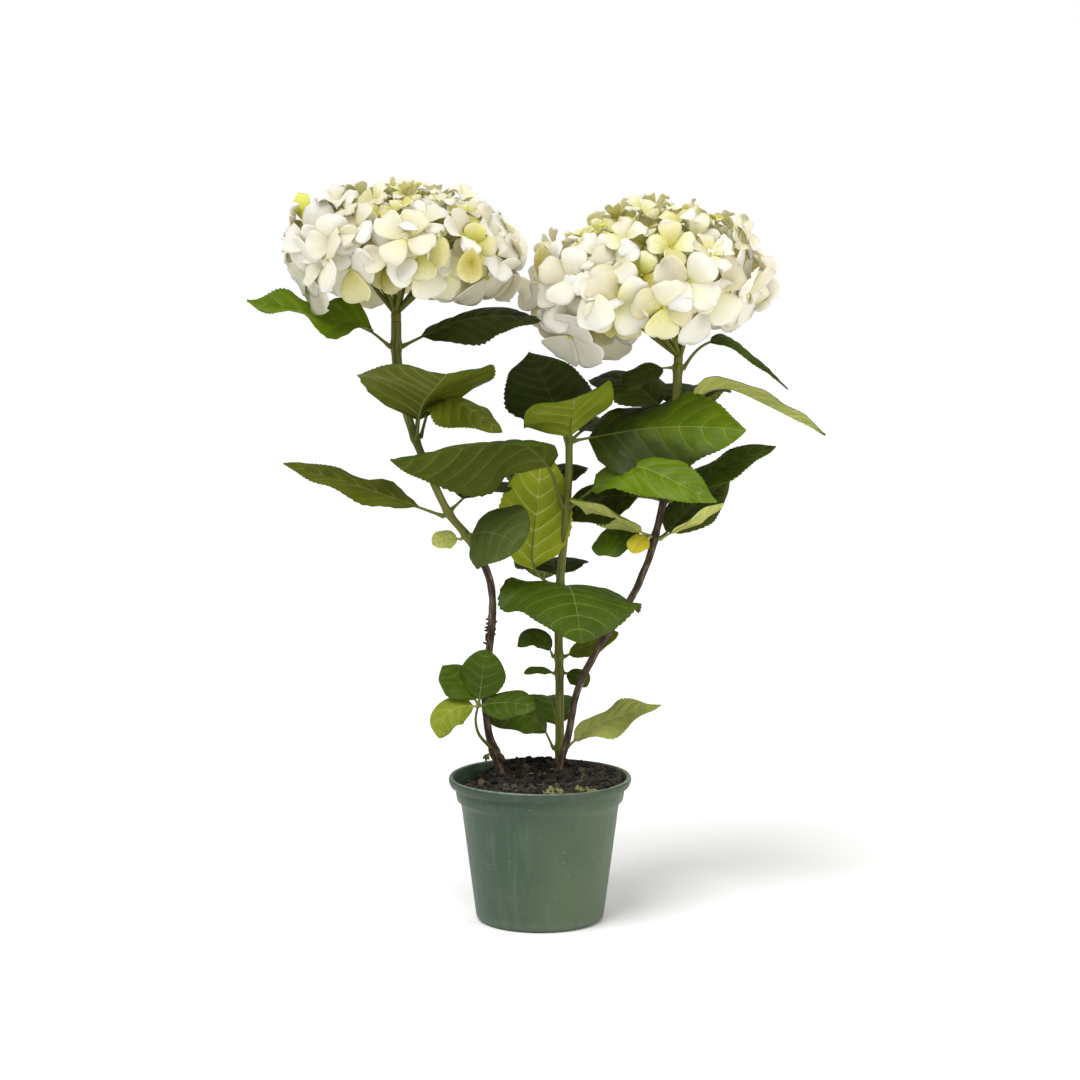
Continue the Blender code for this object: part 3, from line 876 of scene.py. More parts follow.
def bump(nodes, links, shader, height, strength, distance, under=None):
    """Adds a bump to the shader, on top of the bump before it if there is one."""
    node = nodes.new("ShaderNodeBump")
    node.inputs["Strength"].default_value = strength
    node.inputs["Distance"].default_value = distance
    links.new(height, node.inputs["Height"])
    if under is not None:
        links.new(under, node.inputs["Normal"])
    links.new(node.outputs["Normal"], shader.inputs["Normal"])
    return node.outputs["Normal"]


def soften(shader, weight, radius, scale):
    """Lets light through a thin or waxy body."""
    shader.inputs["Subsurface Weight"].default_value = weight
    shader.inputs["Subsurface Radius"].default_value = radius
    shader.inputs["Subsurface Scale"].default_value = scale


def tissue_finish(name, colour, gloss, softness=0.35):
    """Leaf tissue: a plain colour, a fine net of veinlets and an uneven gloss."""
    material, nodes, links, shader = new_finish(name)
    shader.inputs["Base Color"].default_value = (*colour, 1.0)
    shader.inputs["Specular IOR Level"].default_value = 0.13
    soften(shader, softness, (0.55, 1.0, 0.20), 0.0012)
    place = place_on_object(nodes, links)
    uneven = noise_of(nodes, links, place, 70.0)
    links.new(ranged(nodes, links, uneven, 0.3, 0.7, gloss - 0.08, gloss + 0.10), shader.inputs["Roughness"])
    net = bump(nodes, links, shader, cells_of(nodes, links, place, 420.0), 0.35, 0.0003)
    bump(nodes, links, shader, noise_of(nodes, links, place, 900.0, 3.0), 0.18, 0.0002, net)
    return material


def vein_finish(name, colour, gloss):
    """A leaf's veins and stalks: a plain colour with fine lengthwise unevenness."""
    material, nodes, links, shader = new_finish(name)
    shader.inputs["Base Color"].default_value = (*colour, 1.0)
    shader.inputs["Specular IOR Level"].default_value = 0.16
    soften(shader, 0.25, (0.6, 1.0, 0.25), 0.0012)
    place = place_on_object(nodes, links)
    uneven = noise_of(nodes, links, place, 260.0)
    links.new(ranged(nodes, links, uneven, 0.3, 0.7, gloss - 0.06, gloss + 0.08), shader.inputs["Roughness"])
    bump(nodes, links, shader, uneven, 0.2, 0.0003)
    return material


def petal_finish(name, colour):
    """A petal: thin, matt and softly lit from behind, with a faint crinkle."""
    material, nodes, links, shader = new_finish(name)
    shader.inputs["Base Color"].default_value = (*colour, 1.0)
    shader.inputs["Specular IOR Level"].default_value = 0.3
    soften(shader, 0.5, (1.0, 0.92, 0.62), 0.0018)
    place = place_on_object(nodes, links)
    crinkle = noise_of(nodes, links, place, 190.0, 5.0, 0.6)
    links.new(ranged(nodes, links, crinkle, 0.3, 0.7, 0.48, 0.66), shader.inputs["Roughness"])
    bump(nodes, links, shader, crinkle, 0.35, 0.0006)
    return material


def bark_finish(settings):
    """Old bark: brown, split lengthwise, with pale streaks and dark pits."""
    material, nodes, links, shader = new_finish("old_bark")
    along = grain_of(nodes, links, (1.0, 1.0, 0.14))
    round_about = grain_of(nodes, links)
    streaks = noise_of(nodes, links, along, 430.0, 6.0, 0.65)
    patches = noise_of(nodes, links, round_about, 75.0)
    bark = tuple(settings.bark)
    dark = tuple(c * 0.22 for c in bark)
    pale = tuple(min(1.0, c * 3.2 + 0.06) for c in bark)
    brown = mixed(nodes, links, ranged(nodes, links, streaks, 0.40, 0.54, 0.0, 1.0), dark, bark)
    worn = mixed(nodes, links, ranged(nodes, links, streaks, 0.53, 0.66, 0.0, 0.9), brown, pale)
    shaded = mixed(nodes, links, ranged(nodes, links, patches, 0.42, 0.62, 0.0, 0.6), worn, dark)
    links.new(shaded, shader.inputs["Base Color"])
    links.new(ranged(nodes, links, streaks, 0.3, 0.7, 0.92, 0.62), shader.inputs["Roughness"])
    bump(nodes, links, shader, streaks, 0.6, 0.0007)
    return material


def shoot_finish(settings):
    """A green shoot: yellow-green with fine ribs and small brown flecks."""
    material, nodes, links, shader = new_finish("green_shoot")
    soften(shader, 0.2, (0.6, 1.0, 0.25), 0.0015)
    shader.inputs["Specular IOR Level"].default_value = 0.25
    along = grain_of(nodes, links, (1.0, 1.0, 0.05))
    round_about = grain_of(nodes, links)
    ribs = noise_of(nodes, links, along, 480.0, 3.0)
    flecks = cells_of(nodes, links, round_about, 300.0, "F1")
    shoot = tuple(settings.shoot)
    light = tuple(min(1.0, c * 1.9 + 0.01) for c in shoot)
    green = mixed(nodes, links, ranged(nodes, links, ribs, 0.38, 0.62, 0.0, 1.0), shoot, light)
    fleck = ranged(nodes, links, flecks, 0.10, 0.20, 0.75, 0.0)
    flecked = mixed(nodes, links, fleck, green, FLECK_COLOUR)
    links.new(flecked, shader.inputs["Base Color"])
    links.new(ranged(nodes, links, ribs, 0.3, 0.7, 0.42, 0.58), shader.inputs["Roughness"])
    bump(nodes, links, shader, ribs, 0.35, 0.0004)
    return material


def plastic_finish(settings):
    """Pot plastic: satin, streaked, dusty at the foot, painted light on its right side, painted shade on its
    lip, and a paler top edge.
    """
    material, nodes, links, shader = new_finish("pot_plastic")
    place = place_on_object(nodes, links)
    upright = place_on_object(nodes, links, (1.0, 1.0, 0.08))
    split = nodes.new("ShaderNodeSeparateXYZ")
    links.new(place, split.inputs["Vector"])
    colour, worn = tuple(settings.colour), tuple(settings.worn)
    olive = (colour[0] * 1.85, colour[1] * 1.44, colour[2] * 1.26)
    dusty = tuple(0.74 * c + 0.26 * w for c, w in zip(colour, worn))
    broad = noise_of(nodes, links, place, 11.0, 2.0)
    streaks = noise_of(nodes, links, upright, 130.0, 5.0, 0.6)
    scuffs = noise_of(nodes, links, place, 210.0, 6.0, 0.7)
    # Random broad tone, plus painted light: the pot's right side is painted lighter and more olive, standing
    # in for light from the right
    tone_and_side_light = nodes.new("ShaderNodeMath")
    tone_and_side_light.operation = "ADD"
    links.new(ranged(nodes, links, broad, 0.36, 0.64, -0.35, 0.35), tone_and_side_light.inputs[0])
    links.new(ranged(nodes, links, split.outputs["X"], -0.060, 0.075, 0.0, 1.0), tone_and_side_light.inputs[1])
    base = mixed(nodes, links, tone_and_side_light.outputs["Value"], colour, olive)
    streaked = mixed(nodes, links, ranged(nodes, links, streaks, 0.50, 0.78, 0.0, 0.42), base, dusty)
    scuffed = mixed(nodes, links, ranged(nodes, links, scuffs, 0.62, 0.74, 0.0, 0.35), streaked, worn)
    height = split.outputs["Z"]
    # The lip's top edge is paler, in patches along it
    lip = nodes.new("ShaderNodeMath")
    lip.operation = "MULTIPLY"
    top, lip_foot = settings.height, settings.height - LIP_HEIGHT
    links.new(ranged(nodes, links, height, top - 0.0014, top - 0.0002, 0.0, 0.60), lip.inputs[0])
    links.new(ranged(nodes, links, scuffs, 0.30, 0.60, 0.25, 1.0), lip.inputs[1])
    # Painted shade: the lip, from its foot upwards, is darkened towards a deep green
    painted_lip_shade = ranged(nodes, links, height, lip_foot, lip_foot + 0.0012, 0.0, 0.38)
    shaded = mixed(nodes, links, painted_lip_shade, scuffed, tuple(c * 0.45 for c in colour))
    rubbed = mixed(nodes, links, lip.outputs["Value"], shaded, worn)
    foot = nodes.new("ShaderNodeMath")
    foot.operation = "MULTIPLY"
    links.new(ranged(nodes, links, height, 0.0, 0.012, 0.6, 0.0), foot.inputs[0])
    links.new(ranged(nodes, links, scuffs, 0.35, 0.65, 0.0, 1.0), foot.inputs[1])
    links.new(mixed(nodes, links, foot.outputs["Value"], rubbed, dusty), shader.inputs["Base Color"])
    shader.inputs["Specular IOR Level"].default_value = 0.35
    links.new(ranged(nodes, links, streaks, 0.3, 0.7, 0.36, 0.56), shader.inputs["Roughness"])
    soft = bump(nodes, links, shader, streaks, 0.12, 0.0006)
    bump(nodes, links, shader, scuffs, 0.10, 0.0003, soft)
    return material


def peat_finish(settings):
    """Damp peat: near black with brown fibres, and moss on a patch at the front."""
    material, nodes, links, shader = new_finish("damp_peat")
    place = place_on_object(nodes, links)
    grains = noise_of(nodes, links, place, 520.0, 6.0, 0.7)
    clods = noise_of(nodes, links, place, 95.0, 4.0)
    peat = tuple(settings.colour)
    brown = tuple(c * 3.4 for c in peat)
    soil = mixed(nodes, links, ranged(nodes, links, grains, 0.42, 0.68, 0.0, 1.0), peat, brown)
    patch = nodes.new("ShaderNodeVectorMath")
    patch.operation = "DISTANCE"
    patch.inputs[1].default_value = (*MOSS_PATCH, SOIL_TOP)
    links.new(place, patch.inputs[0])
    near = ranged(nodes, links, patch.outputs["Value"], 0.012, 0.040, 0.85, 0.0)
    spread = nodes.new("ShaderNodeMath")
    spread.operation = "MULTIPLY"
    links.new(near, spread.inputs[0])
    links.new(ranged(nodes, links, clods, 0.38, 0.56, 0.0, 1.0), spread.inputs[1])
    mossy = mixed(nodes, links, spread.outputs["Value"], soil, tuple(settings.moss))
    links.new(mossy, shader.inputs["Base Color"])
    links.new(ranged(nodes, links, clods, 0.3, 0.7, 0.95, 0.72), shader.inputs["Roughness"])
    bump(nodes, links, shader, grains, 0.9, 0.0016)
    return material


def crumb_finish(name, colour):
    material, nodes, links, shader = new_finish(name)
    place = place_on_object(nodes, links)
    grains = noise_of(nodes, links, place, 700.0, 5.0, 0.7)
    dark = tuple(c * 0.4 for c in colour)
    links.new(
        mixed(nodes, links, ranged(nodes, links, grains, 0.35, 0.65, 0.0, 1.0), dark, colour),
        shader.inputs["Base Color"],
    )
    links.new(ranged(nodes, links, grains, 0.3, 0.7, 0.95, 0.75), shader.inputs["Roughness"])
    bump(nodes, links, shader, grains, 0.7, 0.0008)
    return material


def floor_finish():
    material, nodes, links, shader = new_finish("pale_floor", 0.6)
    place = place_on_object(nodes, links)
    faint = ranged(nodes, links, noise_of(nodes, links, place, 3.0), 0.3, 0.7, 0.0, 1.0)
    links.new(mixed(nodes, links, faint, *FLOOR_COLOURS), shader.inputs["Base Color"])
    shader.inputs["Specular IOR Level"].default_value = 0.1
    return material


def finish_named(name, make, *values):
    """The material of that name, made the first time it is asked for."""
    return bpy.data.materials.get(name) or make(*values)


def lerped(first, second, share):
    """A colour at a share of the way between two."""
    return tuple(a + (b - a) * share for a, b in zip(first, second))


def between_colours(colours, count):
    """That many colours, evenly spaced along a row of named ones."""
    made = []
    for i in range(count):
        at = i / (count - 1) * (len(colours) - 1)
        first = min(int(at), len(colours) - 2)
        made.append(lerped(colours[first], colours[first + 1], at - first))
    return made


def blade_finishes(tone, base=""):
    """A blade's materials: its shades of tissue and its veins, for each step from the base tone, painted
    shade, to its own.
    """
    gloss = 0.44 if tone in ("deep", "mid", "bright") else 0.54
    stalk_end_colours, own = (between_colours(TONES[name][:3], SHADE_STEPS) for name in (base or tone, tone))
    made = []
    for step in range(BLEND_STEPS if base else 1):
        share = step / (BLEND_STEPS - 1)
        prefix = f"leaf_{base}_{tone}_{step}" if base else f"leaf_{tone}"
        for number, (first, second) in enumerate(zip(stalk_end_colours, own)):
            name = f"{prefix}_tissue_{number}"
            made.append(finish_named(name, tissue_finish, name, lerped(first, second, share), gloss))
        name = f"{prefix}_veins"
        veins = lerped(TONES[base or tone][3], TONES[tone][3], share)
        made.append(finish_named(name, vein_finish, name, veins, gloss + 0.04))
    return made


def smooth_step(share):
    """0 to 1 with level ends."""
    share = np.clip(share, 0.0, 1.0)
    return share * share * (3 - 2 * share)


def through(places, share):
    """A place on the smooth curve through all the places, at a share of their number."""
    spans = len(places) - 1
    at = min(max(share, 0.0), 1.0) * spans
    first = min(int(at), spans - 1)
    t = at - first
    before, start, end, after = (
        np.array(places[min(max(i, 0), spans)], float) for i in range(first - 1, first + 3)
    )
    return 0.5 * (
        2 * start
        + (end - before) * t
        + (2 * before - 5 * start + 4 * end - after) * t**2
        + (3 * start - before - 3 * end + after) * t**3
    )


def limb_named(name):
    return next(limb for limb in LIMBS if limb.name == name)


def limb_share(limb, height):
    """The share of a limb's run at which it passes a height."""
    low, high = 0.0, 1.0
    for _ in range(30):
        middle = (low + high) / 2
        if through(limb.places, middle)[2] < height:
            low = middle
        else:
            high = middle
    return (low + high) / 2


def joint(limb, share):
    """(place, direction) of a limb at a share of its run."""
    along = Vector(through(limb.places, share + 0.01) - through(limb.places, share - 0.01))
    return Vector(through(limb.places, share)), along.normalized()


def limb_radius(limb, share):
    """An even taper from the foot to the tip, with a root flare just above the soil."""
    above = through(limb.places, share)[2] - SOIL_TOP
    flare = 0.4 * limb.foot_radius * max(0.0, 1 - max(above, 0.0) / FLARE_HEIGHT) ** 2
    return limb.foot_radius + (limb.tip_radius - limb.foot_radius) * share + flare


def leaf_root(limb, height, turn):
    """Where a leaf of that turn starts on a limb's joint at a height."""
    share = limb_share(limb, height)
    centre, along = joint(limb, share)
    outward = Vector((math.cos(math.radians(turn)), math.sin(math.radians(turn)), 0.0))
    outward = (outward - along * outward.dot(along)).normalized()
    return centre + outward * (limb_radius(limb, share) + CLEAR + COLLAR_REACH * 0.6)


def leaf_spine(leaf, root):
    """A leaf's run from its root, stalk and midrib in one, as arrays: places, directions, side vectors."""
    step = (leaf.stalk + leaf.length) / SPINE_STEPS
    first, last = leaf.bend
    bent = smooth_step((np.arange(SPINE_STEPS + 1) / SPINE_STEPS - first) / (last - first))
    lift, turn = np.radians(leaf.lift - leaf.droop * bent), math.radians(leaf.turn)
    directions = np.column_stack((np.cos(lift) * math.cos(turn), np.cos(lift) * math.sin(turn), np.sin(lift)))
    places = np.array(root, float) + np.vstack((np.zeros(3), np.cumsum(directions[:-1] * step, axis=0)))
    sides = np.tile((math.sin(turn), -math.cos(turn), 0.0), (SPINE_STEPS + 1, 1))
    return places, directions, sides


def on_spine(spine, share):
    """(places, directions, side vectors) at shares of the whole leaf's length."""
    at = np.clip(np.atleast_1d(share), 0.0, 1.0) * SPINE_STEPS
    first = np.minimum(at.astype(int), SPINE_STEPS - 1)
    t = (at - first)[:, None]
    return tuple(values[first] * (1 - t) + values[first + 1] * t for values in spine)


def half_width(leaf, u):
    """Half the blade's width at shares u of its length: a broad oval that runs out in a point."""
    tip = OUTLINE_TIP if leaf.length >= SMALL_LEAF else OUTLINE_SMALL_TIP
    widest = OUTLINE_BASE / (OUTLINE_BASE + tip)
    full = widest**OUTLINE_BASE * (1 - widest) ** tip
    u = np.clip(u, 0.0, 1.0)
    return np.maximum(leaf.width / 2 * u**OUTLINE_BASE * (1 - u) ** tip / full, LEAF_END_HALF_WIDTH)


def blade_places(leaf, spine, u, v):
    """Places on the blade, u along it from 0 to 1 and v across it from -1 to 1."""
    place, direction, side = on_spine(spine, (leaf.stalk + u * leaf.length) / (leaf.stalk + leaf.length))
    up = np.cross(side, direction)
    roll = math.radians(leaf.roll)
    across = side * math.cos(roll) + up * math.sin(roll)
    above = up * math.cos(roll) - side * math.sin(roll)
    half, t = half_width(leaf, u), np.abs(v)
    fold, curl = math.radians(leaf.fold), math.radians(max(leaf.curl, 0.1))
    out = (math.sin(fold) - np.sin(fold - curl * t)) / curl
    rise = (np.cos(fold - curl * t) - math.cos(fold)) / curl
    rise = rise + leaf.wave * t**2 * np.sin(2 * math.pi * 1.6 * u + np.where(v < 0, 1.3, 0.0))
    return place + across * (half * out * np.where(v >= 0, 1, -1))[:, None] + above * (half * rise)[:, None]


def vein_rows(pairs, teeth):
    """Rows of points across a leaf, from its base to its tip, and the rows of faces that are side veins.

    Each row is (share of the midrib, offset in vein half widths, place between its two veins, how toothed).
    """
    veins = [FIRST_VEIN + (LAST_VEIN - FIRST_VEIN) * (k / (pairs - 1)) ** 1.05 for k in range(pairs)]
    borders = [0.0, *veins, 1.0]
    steps = teeth * 2
    rows, vein_faces = [], []
    for gap in range(pairs + 1):
        start, end = borders[gap], borders[gap + 1]
        for i in range(steps + 1):
            f = i / steps
            share = end * f**2 if gap == 0 else start + (end - start) * f
            offset = -f if gap == 0 else 1 - f if gap == pairs else 1 - 2 * f
            rows.append((share, offset, f, i % 2))
        vein_faces.append(len(rows) - 1)
    return np.array(rows), vein_faces[:-1]


def tissue_shades(places, between, chance):
    """The shade number of each face of a blade, by soft patches that are lighter beside the veins."""
    patch = np.array([noise.fractal(Vector(p) * 32, 1.0, 2.0, 2) for p in places])
    dither = np.array([chance.uniform(-0.42, 0.42) for _ in places])
    light = 0.47 + 0.46 * patch + 0.09 * np.cos(2 * math.pi * between)
    return np.clip(np.rint(light * (SHADE_STEPS - 1) + dither), 0, SHADE_STEPS - 1).astype(int)


def blend_steps(places, age, chance):
    """Each face's step from the base tone, painted shade nearest the stalk, to the leaf's own: halfway where
    age, a place on the blade and no age, is 0.
    """
    patch = np.array([noise.fractal(Vector(p) * 40, 1.0, 2.0, 3) for p in places])
    dither = np.array([chance.uniform(-0.42, 0.42) for _ in places])
    turned = smooth_step((age + 0.16 + 0.10 * patch) / 0.32)
    return np.clip(np.rint(turned * (BLEND_STEPS - 1) + dither), 0, BLEND_STEPS - 1).astype(int)


def leaf_blade(name, leaf, spine, settings, chance):
    """One blade: a grid laid along the side veins, toothed, quilted, thickened, and ribbed underneath."""
    small = leaf.length < SMALL_LEAF
    pairs = max(4, settings.vein_pairs - 2) if small else settings.vein_pairs
    teeth = settings.teeth
    rows, vein_faces = vein_rows(pairs, teeth)
    columns = COLUMNS_A_SIDE - 5 if small else COLUMNS_A_SIDE
    select_only()
    bpy.ops.mesh.primitive_grid_add(x_subdivisions=len(rows) - 1, y_subdivisions=2 * columns, size=1.0)
    blade = named(bpy.context.active_object, name)
    flat = points_of(blade)
    row = np.rint((flat[:, 0] + 0.5) * (len(rows) - 1)).astype(int)
    column = np.rint((0.5 - flat[:, 1]) * 2 * columns).astype(int) - columns
    centres = np.array([tuple(face.center) for face in blade.data.polygons])
    face_row = np.floor((centres[:, 0] + 0.5) * (len(rows) - 1)).astype(int)
    face_column = np.floor((0.5 - centres[:, 1]) * 2 * columns).astype(int) - columns

    share, offset, between, tip = rows[row].T
    rung = np.abs(column)
    even = np.maximum(rung - 1, 0) / (columns - 1)
    spread = 1 - (1 - even) ** 1.25
    size = min(1.0, leaf.length / 0.1)
    vein_width = VEIN_HALF_WIDTH * size / leaf.length
    sweep = VEIN_SWEEP * share**0.35 * (1 - share)
    u = share + offset * vein_width * (1 - 0.72 * spread) + sweep * spread**1.2
    u = np.where(row == len(rows) - 1, 1.0, np.clip(u, 0.0, 1.0))
    half = half_width(leaf, u)
    midrib = np.minimum(0.3, MIDRIB_HALF_WIDTH * size * (1.15 - u) / half)
    t = np.where(rung == 0, 0.0, midrib + (1 - midrib) * spread)
    side = np.where(column >= 0, 1, -1)
    set_points(blade, blade_places(leaf, spine, u, t * side))
    normals = normals_of(blade)
    edge = (rung == columns) * smooth_step(u / 0.16) * (1 - smooth_step((u - 0.86) / 0.13))
    uneven = np.array([(chance.uniform(0.55, 1.15), chance.uniform(0.55, 1.15)) for _ in rows])
    narrow = 0.32 if small else min(1.0, leaf.width / 0.075)
    depth = settings.tooth_depth * narrow * edge * uneven[row, (column > 0).astype(int)]
    t = t + (tip - 0.6) * depth / half
    u = np.clip(u + 0.45 * tip * depth / leaf.length, 0.0, 1.0)
    places = blade_places(leaf, spine, u, t * side)

    swell = np.sin(math.pi * between) ** 0.8 * np.sin(math.pi * np.clip(spread, 0, 1) ** 0.7)
    swell *= smooth_step(share / 0.10) * (1 - smooth_step((share - 0.86) / 0.14)) * (rung > 0)
    shift = Vector((leaf.turn * 0.37, leaf.length * 91.0, leaf.width * 57.0))
    rough = np.array([noise.fractal(Vector(p) * 130 + shift, 1.0, 2.0, 3) for p in places])
    crimp = np.array([noise.noise(Vector(p) * 36 + shift) for p in places]) * spread**1.6
    lift = settings.quilting * size * (swell + 0.30 * rough * (rung > 1) + 5.0 * crimp)
    set_points(blade, places + normals * lift[:, None])
    upper, under = blade_finishes(leaf.tone, leaf.base), blade_finishes(leaf.under)
    for material in upper + under * (len(upper) // len(under)):
        blade.data.materials.append(material)
    corners = np.array([tuple(face.vertices) for face in blade.data.polygons])
    outer = np.where(face_column >= 0, face_column, -1 - face_column)
    vein = (outer == 0) | (np.isin(face_row, vein_faces) & (outer < int(columns * VEIN_REACH)))
    # age is a place, not an age: how far along the blade, tilted across it, the painted shade of the base
    # tone reaches
    age = (share - 0.42 - 0.26 * t * side)[corners].mean(axis=1)
    numbers = tissue_shades(places[corners].mean(axis=1) + shift, between[corners].mean(axis=1), chance)
    numbers = np.where(vein, SHADE_STEPS, numbers)
    if leaf.base:
        numbers += (SHADE_STEPS + 1) * blend_steps(places[corners].mean(axis=1) + shift, age, chance)
    blade.data.polygons.foreach_set("material_index", numbers.astype(np.int32))

    count = len(blade.data.vertices)
    apply_modifier(
        blade,
        "thickness",
        "SOLIDIFY",
        thickness=settings.thickness * (0.8 if small else 1.0),
        offset=0.0,
        material_offset=len(upper),
        material_offset_rim=0,
    )
    finished = points_of(blade)
    on_vein = np.isin(row, vein_faces) | np.isin(row - 1, vein_faces)
    rib = 0.00030 * on_vein * (1 - spread) + 0.0005 * (rung <= 1) * (1.1 - u)
    finished[count:] -= normals * (rib * size)[:, None]
    set_points(blade, finished)
    smooth(blade)
    return blade


def tubes(name, runs, materials, fineness=2):
    """Round tubes through the places of each run, given as (places, radii, material number)."""
    curve = bpy.data.curves.new(name, "CURVE")
    curve.dimensions = "3D"
    curve.bevel_depth = 1.0
    curve.bevel_resolution = fineness
    curve.use_fill_caps = True
    for material in materials:
        curve.materials.append(material)
    for places, radii, number in runs:
        spline = curve.splines.new("POLY")
        spline.points.add(len(places) - 1)
        spline.material_index = number
        spline.use_smooth = True
        for point, place, radius in zip(spline.points, places, radii):
            point.co = (*place, 1.0)
            point.radius = radius
    obj = bpy.data.objects.new(name, curve)
    bpy.context.scene.collection.objects.link(obj)
    select_only(obj)
    bpy.ops.object.convert(target="MESH")
    obj = named(bpy.context.active_object, name)
    clean_mesh(obj)
    return obj


def leaf_stalk_run(leaf, spine, heart, number):
    """A leaf's stalk, rooted at the stem's heart, that runs on under the blade as its midrib."""
    total = leaf.stalk + leaf.length
    end = (leaf.stalk + 0.80 * leaf.length) / total
    radius = min(0.0017, 0.0009 + leaf.length * 0.008)
    neck = leaf.stalk / total
    shares = np.concatenate((np.linspace(0.0, neck, 9)[:-1], np.linspace(neck, end, 14)))
    places, directions, sides = on_spine(spine, shares)
    up = np.cross(sides, directions)
    roll = math.radians(leaf.roll)
    above = up * math.cos(roll) - sides * math.sin(roll)
    along = np.clip((shares - neck) / (end - neck), 0.0, 1.0)
    radii = radius * (1 - 0.25 * np.minimum(shares / max(neck, 0.02), 1.0)) * (1 - 0.80 * along**0.8)
    radii = radii * (1 + 0.55 * np.exp(-((shares * total / 0.0035) ** 2)))
    sunk = np.where(shares < neck, 0.0, radii * 0.55) * smooth_step((shares - neck) / 0.05)
    run = np.vstack((np.array(heart) * 0.6 + places[0] * 0.4, places - above * sunk[:, None]))
    return run, np.concatenate((radii[:1], radii)), number


def stem_swelling(limb, share):
    """How much thicker a stem is at a share of its run, from the joints that carry leaves."""
    place = through(limb.places, share)
    swelling = 0.0
    for mass in LEAF_MASSES:
        if mass.limb == limb.name:
            distance = abs(place[2] - mass.height)
            swelling += JOINT_SWELLING * math.exp(-((distance / JOINT_REACH) ** 2))
    if limb.name == "left_stem":
        above = place[2] - FOOT_SHOOT_HEIGHT + 0.004
        swelling += SHOOT_SWELLING * math.exp(-((above / SHOOT_REACH) ** 2))
    return swelling


def stem_piece(limb, settings):
    """One stem with furrowed bark below, a green shoot above, and swollen joints."""
    start = limb_share(limb, STEM_FOOT)
    shares = [start + (1 - start) * i / STEM_STEPS for i in range(STEM_STEPS + 1)]
    places = [through(limb.places, share) for share in shares]
    slim = [
        1 - limb.slimmer * (1 - float(smooth_step((p[2] - limb.full_from + 0.07) / 0.07))) for p in places
    ]
    radii = [limb_radius(limb, s) * thin * (1 + stem_swelling(limb, s)) for s, thin in zip(shares, slim)]
    radii[-1] *= 0.96
    materials = (
        finish_named("old_bark", bark_finish, settings),
        finish_named("green_shoot", shoot_finish, settings),
    )
    stem = tubes(limb.name + "_bark", [(places, radii, 0)], materials, 6)
    line = np.array(places)
    points = points_of(stem)
    nearest = np.argmin(((points[:, None, :] - line[None, :, :]) ** 2).sum(axis=2), axis=1)
    outward = points - line[nearest]
    length = np.linalg.norm(outward, axis=1, keepdims=True)
    outward = outward / np.maximum(length, 1e-6)
    woody = 1 - smooth_step((line[nearest, 2] - limb.green_from + 0.012) / 0.024)
    run = np.concatenate(((0.0,), np.cumsum(np.linalg.norm(np.diff(line, axis=0), axis=1))))
    grain = outward * np.array(radii)[nearest][:, None] * (1, 1, 0) + run[nearest][:, None] * (0, 0, 1)
    layer = stem.data.attributes.new("grain", "FLOAT_VECTOR", "POINT")
    layer.data.foreach_set("vector", grain.astype(np.float32).ravel())
    relief = np.empty(len(points))
    for i, g in enumerate(grain):
        furrow = noise.fractal(Vector((g[0] * 560, g[1] * 560, g[2] * 60)), 1.0, 2.1, 3)
        knob = noise.noise(Vector(g) * 85)
        bark = woody[i] * (furrow * 1.1 + 0.9 * knob)
        relief[i] = settings.relief * (bark + (1 - woody[i]) * 0.25 * furrow)
    inner = (nearest > 0) & (nearest < len(line) - 1)
    set_points(stem, points + outward * (relief * inner)[:, None])
    chance = random.Random(len(limb.places))
    for face in stem.data.polygons:
        green = face.center.z - limb.green_from + chance.uniform(-0.007, 0.007)
        face.material_index = 1 if green > 0 else 0
    smooth(stem)
    return stem


def bark_shreds(settings):
    """Dark shreds of old bud scales and the stub low on the left stem."""
    limb = limb_named("left_stem")
    chance = random.Random(5)
    runs = []
    for height, count, reach, side in BARK_SHREDS:
        centre, along = joint(limb, limb_share(limb, height))
        for _ in range(count):
            around = math.radians(side + chance.uniform(-60, 60))
            outward = Vector((math.cos(around), math.sin(around), chance.uniform(-0.3, 1.4))).normalized()
            root = centre + outward * 0.0030 + along * chance.uniform(-0.008, 0.008)
            bend = Vector(chance.uniform(-0.0012, 0.0012) for _ in range(3))
            ends = (root, root + outward * reach * 0.6 + bend * 0.5, root + outward * reach + bend * 1.2)
            runs.append((ends, (0.0011, 0.0012, 0.0005), 0))
    centre, along = joint(limb, limb_share(limb, FOOT_SHOOT_HEIGHT - 0.006))
    stub = centre + Vector((0.0052, -0.004, -0.002))
    runs.append(((centre, stub, stub + Vector((0.0030, -0.0015, -0.0035))), (0.0036, 0.0031, 0.0018), 0))
    bud = centre + Vector((-0.0080, -0.0050, 0.0005))
    for turn, size in ((262, 0.0062), (228, 0.0050), (292, 0.0048)):
        way = Vector((math.cos(math.radians(turn)), 0.3, math.sin(math.radians(turn))))
        runs.append(((bud, bud + way * size * 0.5, bud + way * size), (0.0013, 0.0018, 0.0007), 1))
    runs.append(((centre, centre.lerp(bud, 0.5) + Vector((0, 0, 0.001)), bud), (0.0016, 0.0010, 0.0009), 1))
    shoot = finish_named("young_bud", vein_finish, "young_bud", YOUNG_BUD_COLOUR, 0.5)
    scales = finish_named("dark_bud_scales", crumb_finish, "dark_bud_scales", tuple(settings.bark))
    return tubes("left_stem_scales", runs, (scales, shoot), 1)


def head_frame(head):
    """(centre, turning matrix) of a flower head's dome."""
    return Vector(head.centre), Matrix.Rotation(math.radians(head.tilt), 3, "Y")


def in_front_of_stem(head, seat, height):
    """Whether a low floret would hide the fork of the left head's stem, which shows from the front."""
    across = seat.x - limb_named(head.limb).places[-1][0]
    in_gap = FORK_GAP[0] < across < FORK_GAP[1]
    return head.name == "left_flower_head" and height < -0.20 and in_gap and seat.y < 0.0


